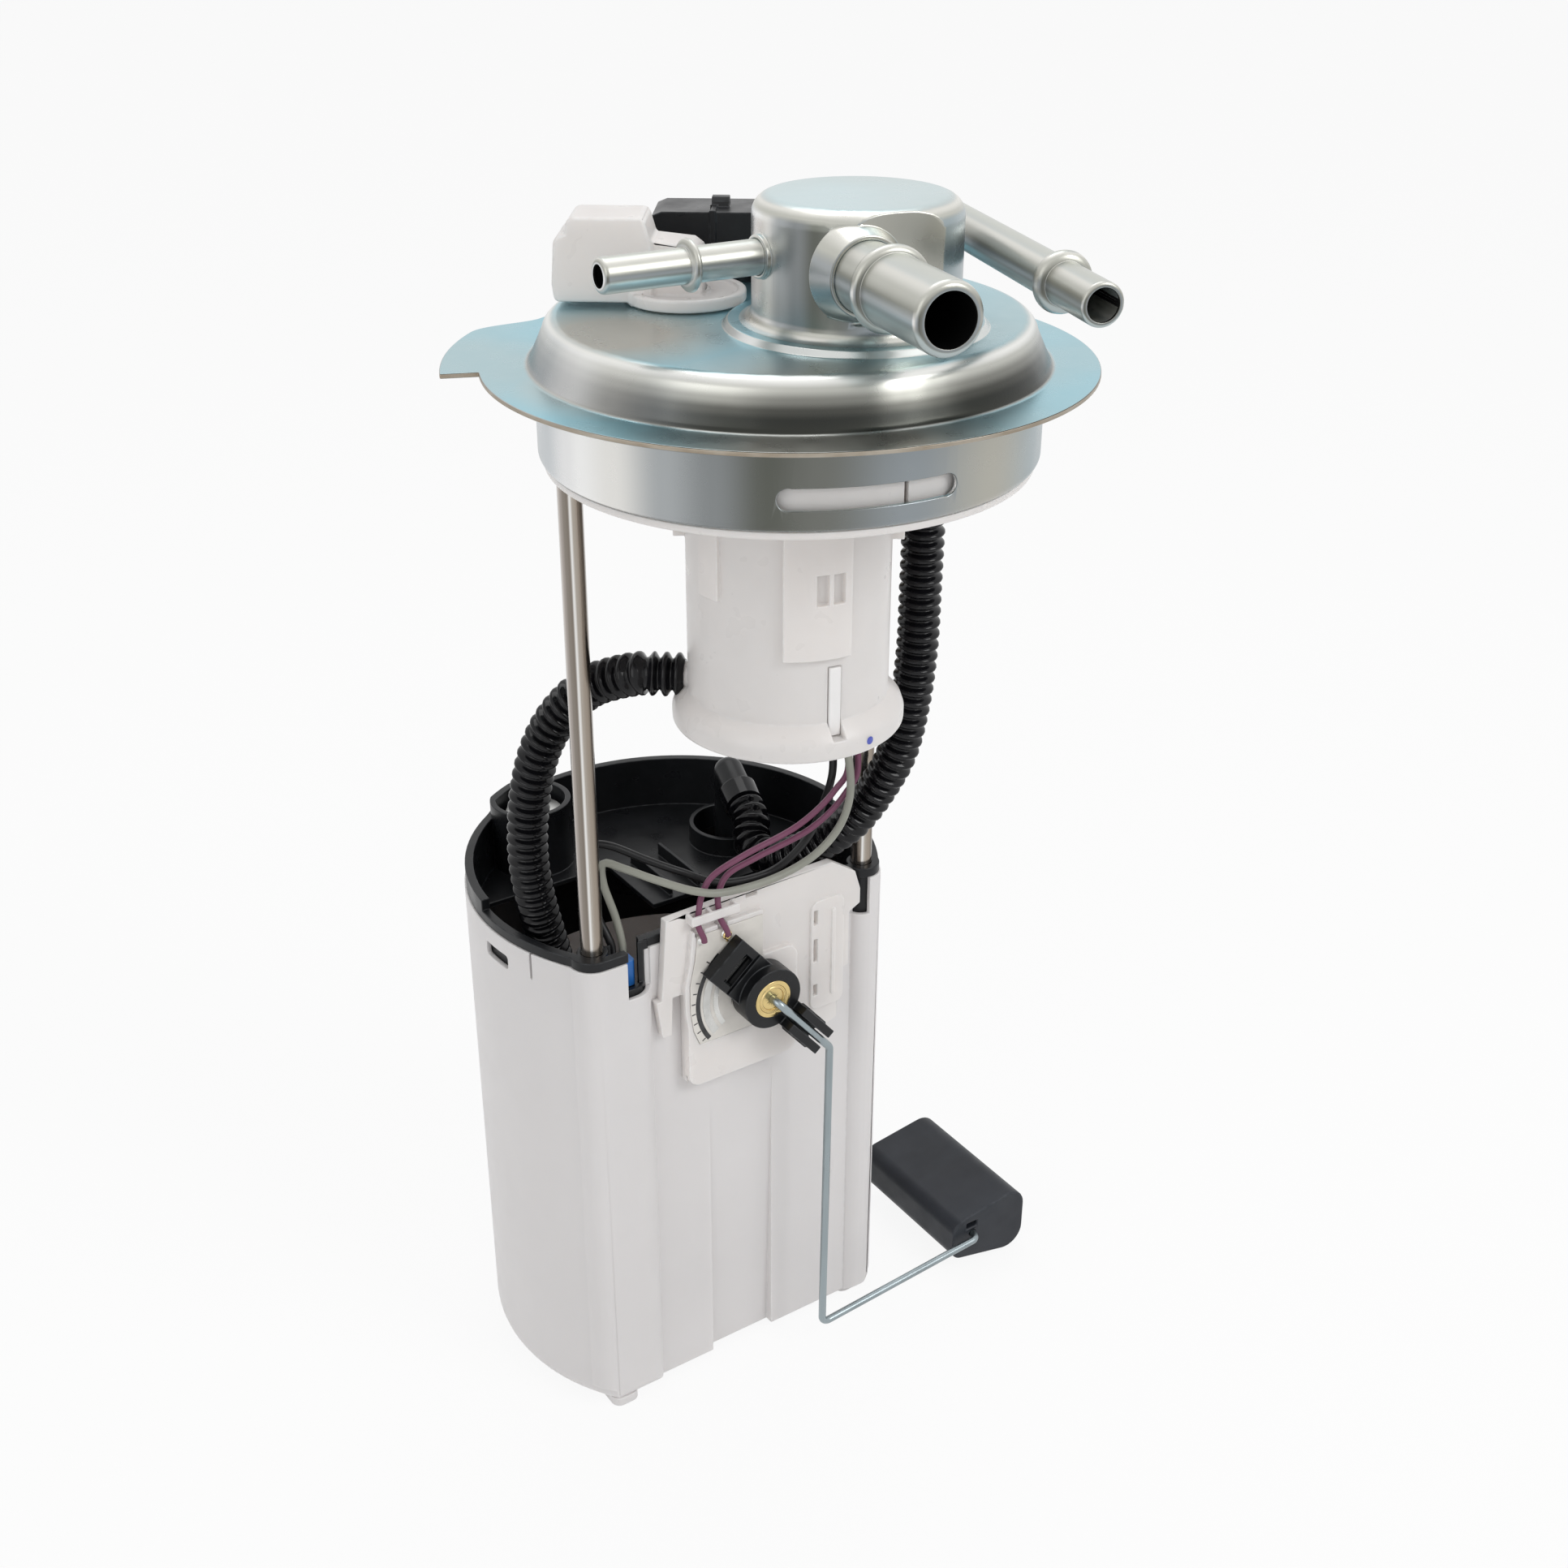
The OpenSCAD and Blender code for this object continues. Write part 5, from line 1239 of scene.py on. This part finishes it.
class FUEL_PUMP_OT_ink(bpy.types.Operator):
    """Put the inspector's ink spots on the mouldings"""

    bl_idname = "fuel_pump.ink"
    bl_label = "Ink Spots"

    def execute(self, context):
        head = bmesh.new()
        turn = math.radians(VALVE_INK_BEARING)
        out = Vector((math.cos(turn), math.sin(turn), 0))
        disc(head, VALVE_INK_RADIUS * out + Vector((0, 0, -90.2)), out, 1.1 * MM)
        disc(head, (-23.0, 22.7, 27.22), (0, 0, 1), 0.9 * MM)
        seat("ink_on_valve", head, "ink_blue", "head", "milky_nylon")
        cup = bmesh.new()
        disc(cup, (0, 25.4, -220), (0, -1, 0), 1.1 * MM)
        seat("ink_on_cup", cup, "ink_blue", "reservoir", "milky_nylon")
        return {"FINISHED"}


def area_lamp(name, at, aim, side, power):
    data = bpy.data.lights.new(name, "AREA")
    data.energy = power
    data.size = side
    lamp = new_object(name, data)
    lamp.location = at
    lamp.rotation_euler = (Vector(aim) - Vector(at)).to_track_quat("-Z", "Y").to_euler()


def seen_directly(tree):
    """1 for rays from the camera, off metal and through glass."""
    rays = tree.nodes.new("ShaderNodeLightPath").outputs
    either = maths(tree, "MAXIMUM", rays["Is Camera Ray"], rays["Is Glossy Ray"])
    return maths(tree, "MAXIMUM", either, rays["Is Transmission Ray"])


class FUEL_PUMP_OT_studio(bpy.types.Operator):
    """Set up the pale floor, the soft lamps and the white background"""

    bl_idname = "fuel_pump.studio"
    bl_label = "Studio"

    def execute(self, context):
        studio = context.scene.fuel_pump_studio
        floor_z = cad_box[0].z - 0.0002
        shape = bmesh.new()
        bmesh.ops.create_grid(shape, x_segments=2, y_segments=2, size=9.0,
                              matrix=Matrix.Translation((0, 0, floor_z)))
        material = bpy.data.materials.new("Pale Floor")
        material.use_nodes = True
        tree = material.node_tree
        shader = tree.nodes["Principled BSDF"]
        tone = ranged(tree, object_noise(tree, 3.0), 0.3, 0.7)
        pale = rgba(studio.floor)
        shade = mixed(tree, tone, pale, rgba(darker(pale, 0.985)))
        tree.links.new(shade, shader.inputs["Base Color"])
        shader.inputs["Roughness"].default_value = 0.9
        shader.inputs["Specular IOR Level"].default_value = 0.0
        glow = add(tree, "ShaderNodeEmission", {"Color": (1, 1, 1, 1), "Strength": 1.0})
        share = maths(tree, "MULTIPLY", seen_directly(tree), 0.9)
        values = {0: share, 1: shader.outputs[0], 2: glow.outputs[0]}
        blend = add(tree, "ShaderNodeMixShader", values)
        tree.links.new(blend.outputs[0], tree.nodes["Material Output"].inputs["Surface"])
        new_piece("floor", shape, material)

        world = bpy.data.worlds.new("Studio")
        context.scene.world = world
        world.use_nodes = True
        tree = world.node_tree
        even = tree.nodes["Background"]
        even.inputs["Strength"].default_value = studio.sky
        even.inputs["Color"].default_value = (1, 1, 1, 1)
        white = add(tree, "ShaderNodeBackground", {"Color": (1, 1, 1, 1), "Strength": 1.0})
        mix = add(tree, "ShaderNodeMixShader", {
            0: seen_directly(tree), 1: even.outputs[0], 2: white.outputs[0],
        })
        tree.links.new(mix.outputs[0], tree.nodes["World Output"].inputs["Surface"])

        middle = (cad_box[0] + cad_box[1]) / 2
        area_lamp("Key", (0.5, -1.05, 0.75), middle, 0.6, studio.key)
        area_lamp("Fill", (-1.1, -0.35, 0.35), middle, 0.8, studio.fill)
        area_lamp("Top", (0.25, 0.45, 1.0), middle, 0.7, studio.top)
        context.scene.view_settings.view_transform = "Standard"
        return {"FINISHED"}


STEPS = (
    FUEL_PUMP_OT_camera, FUEL_PUMP_OT_hoses, FUEL_PUMP_OT_leads, FUEL_PUMP_OT_flange,
    FUEL_PUMP_OT_turret, FUEL_PUMP_OT_sensor, FUEL_PUMP_OT_connector, FUEL_PUMP_OT_valve,
    FUEL_PUMP_OT_rods, FUEL_PUMP_OT_reservoir, FUEL_PUMP_OT_pump, FUEL_PUMP_OT_sender,
    FUEL_PUMP_OT_wiper, FUEL_PUMP_OT_float, FUEL_PUMP_OT_ink, FUEL_PUMP_OT_studio,
)


class FUEL_PUMP_PT_panel(bpy.types.Panel):
    """Lists the steps that build the module's looks"""

    bl_label = "Fuel Pump Module"
    bl_idname = "FUEL_PUMP_PT_panel"
    bl_space_type = "VIEW_3D"
    bl_region_type = "UI"
    bl_category = "Fuel Pump"

    def draw(self, context):
        for step in STEPS:
            self.layout.operator(step.bl_idname)
        for group in (context.scene.fuel_pump_sizes, context.scene.fuel_pump_colours,
                      context.scene.fuel_pump_studio):
            box = self.layout.box()
            for name in group.__annotations__:
                box.prop(group, name)


GROUPS = {
    "fuel_pump_sizes": FuelPumpSizes,
    "fuel_pump_colours": FuelPumpColours,
    "fuel_pump_studio": FuelPumpStudio,
}


def register():
    for kind in (*GROUPS.values(), *STEPS, FUEL_PUMP_PT_panel):
        bpy.utils.register_class(kind)
    for name, kind in GROUPS.items():
        setattr(bpy.types.Scene, name, PointerProperty(type=kind))


def unregister():
    for name in GROUPS:
        delattr(bpy.types.Scene, name)
    for kind in reversed((*GROUPS.values(), *STEPS, FUEL_PUMP_PT_panel)):
        bpy.utils.unregister_class(kind)


def main():
    register()
    for step in STEPS:
        group, name = step.bl_idname.split(".")
        getattr(getattr(bpy.ops, group), name)()


if __name__ == "__main__":
    main()
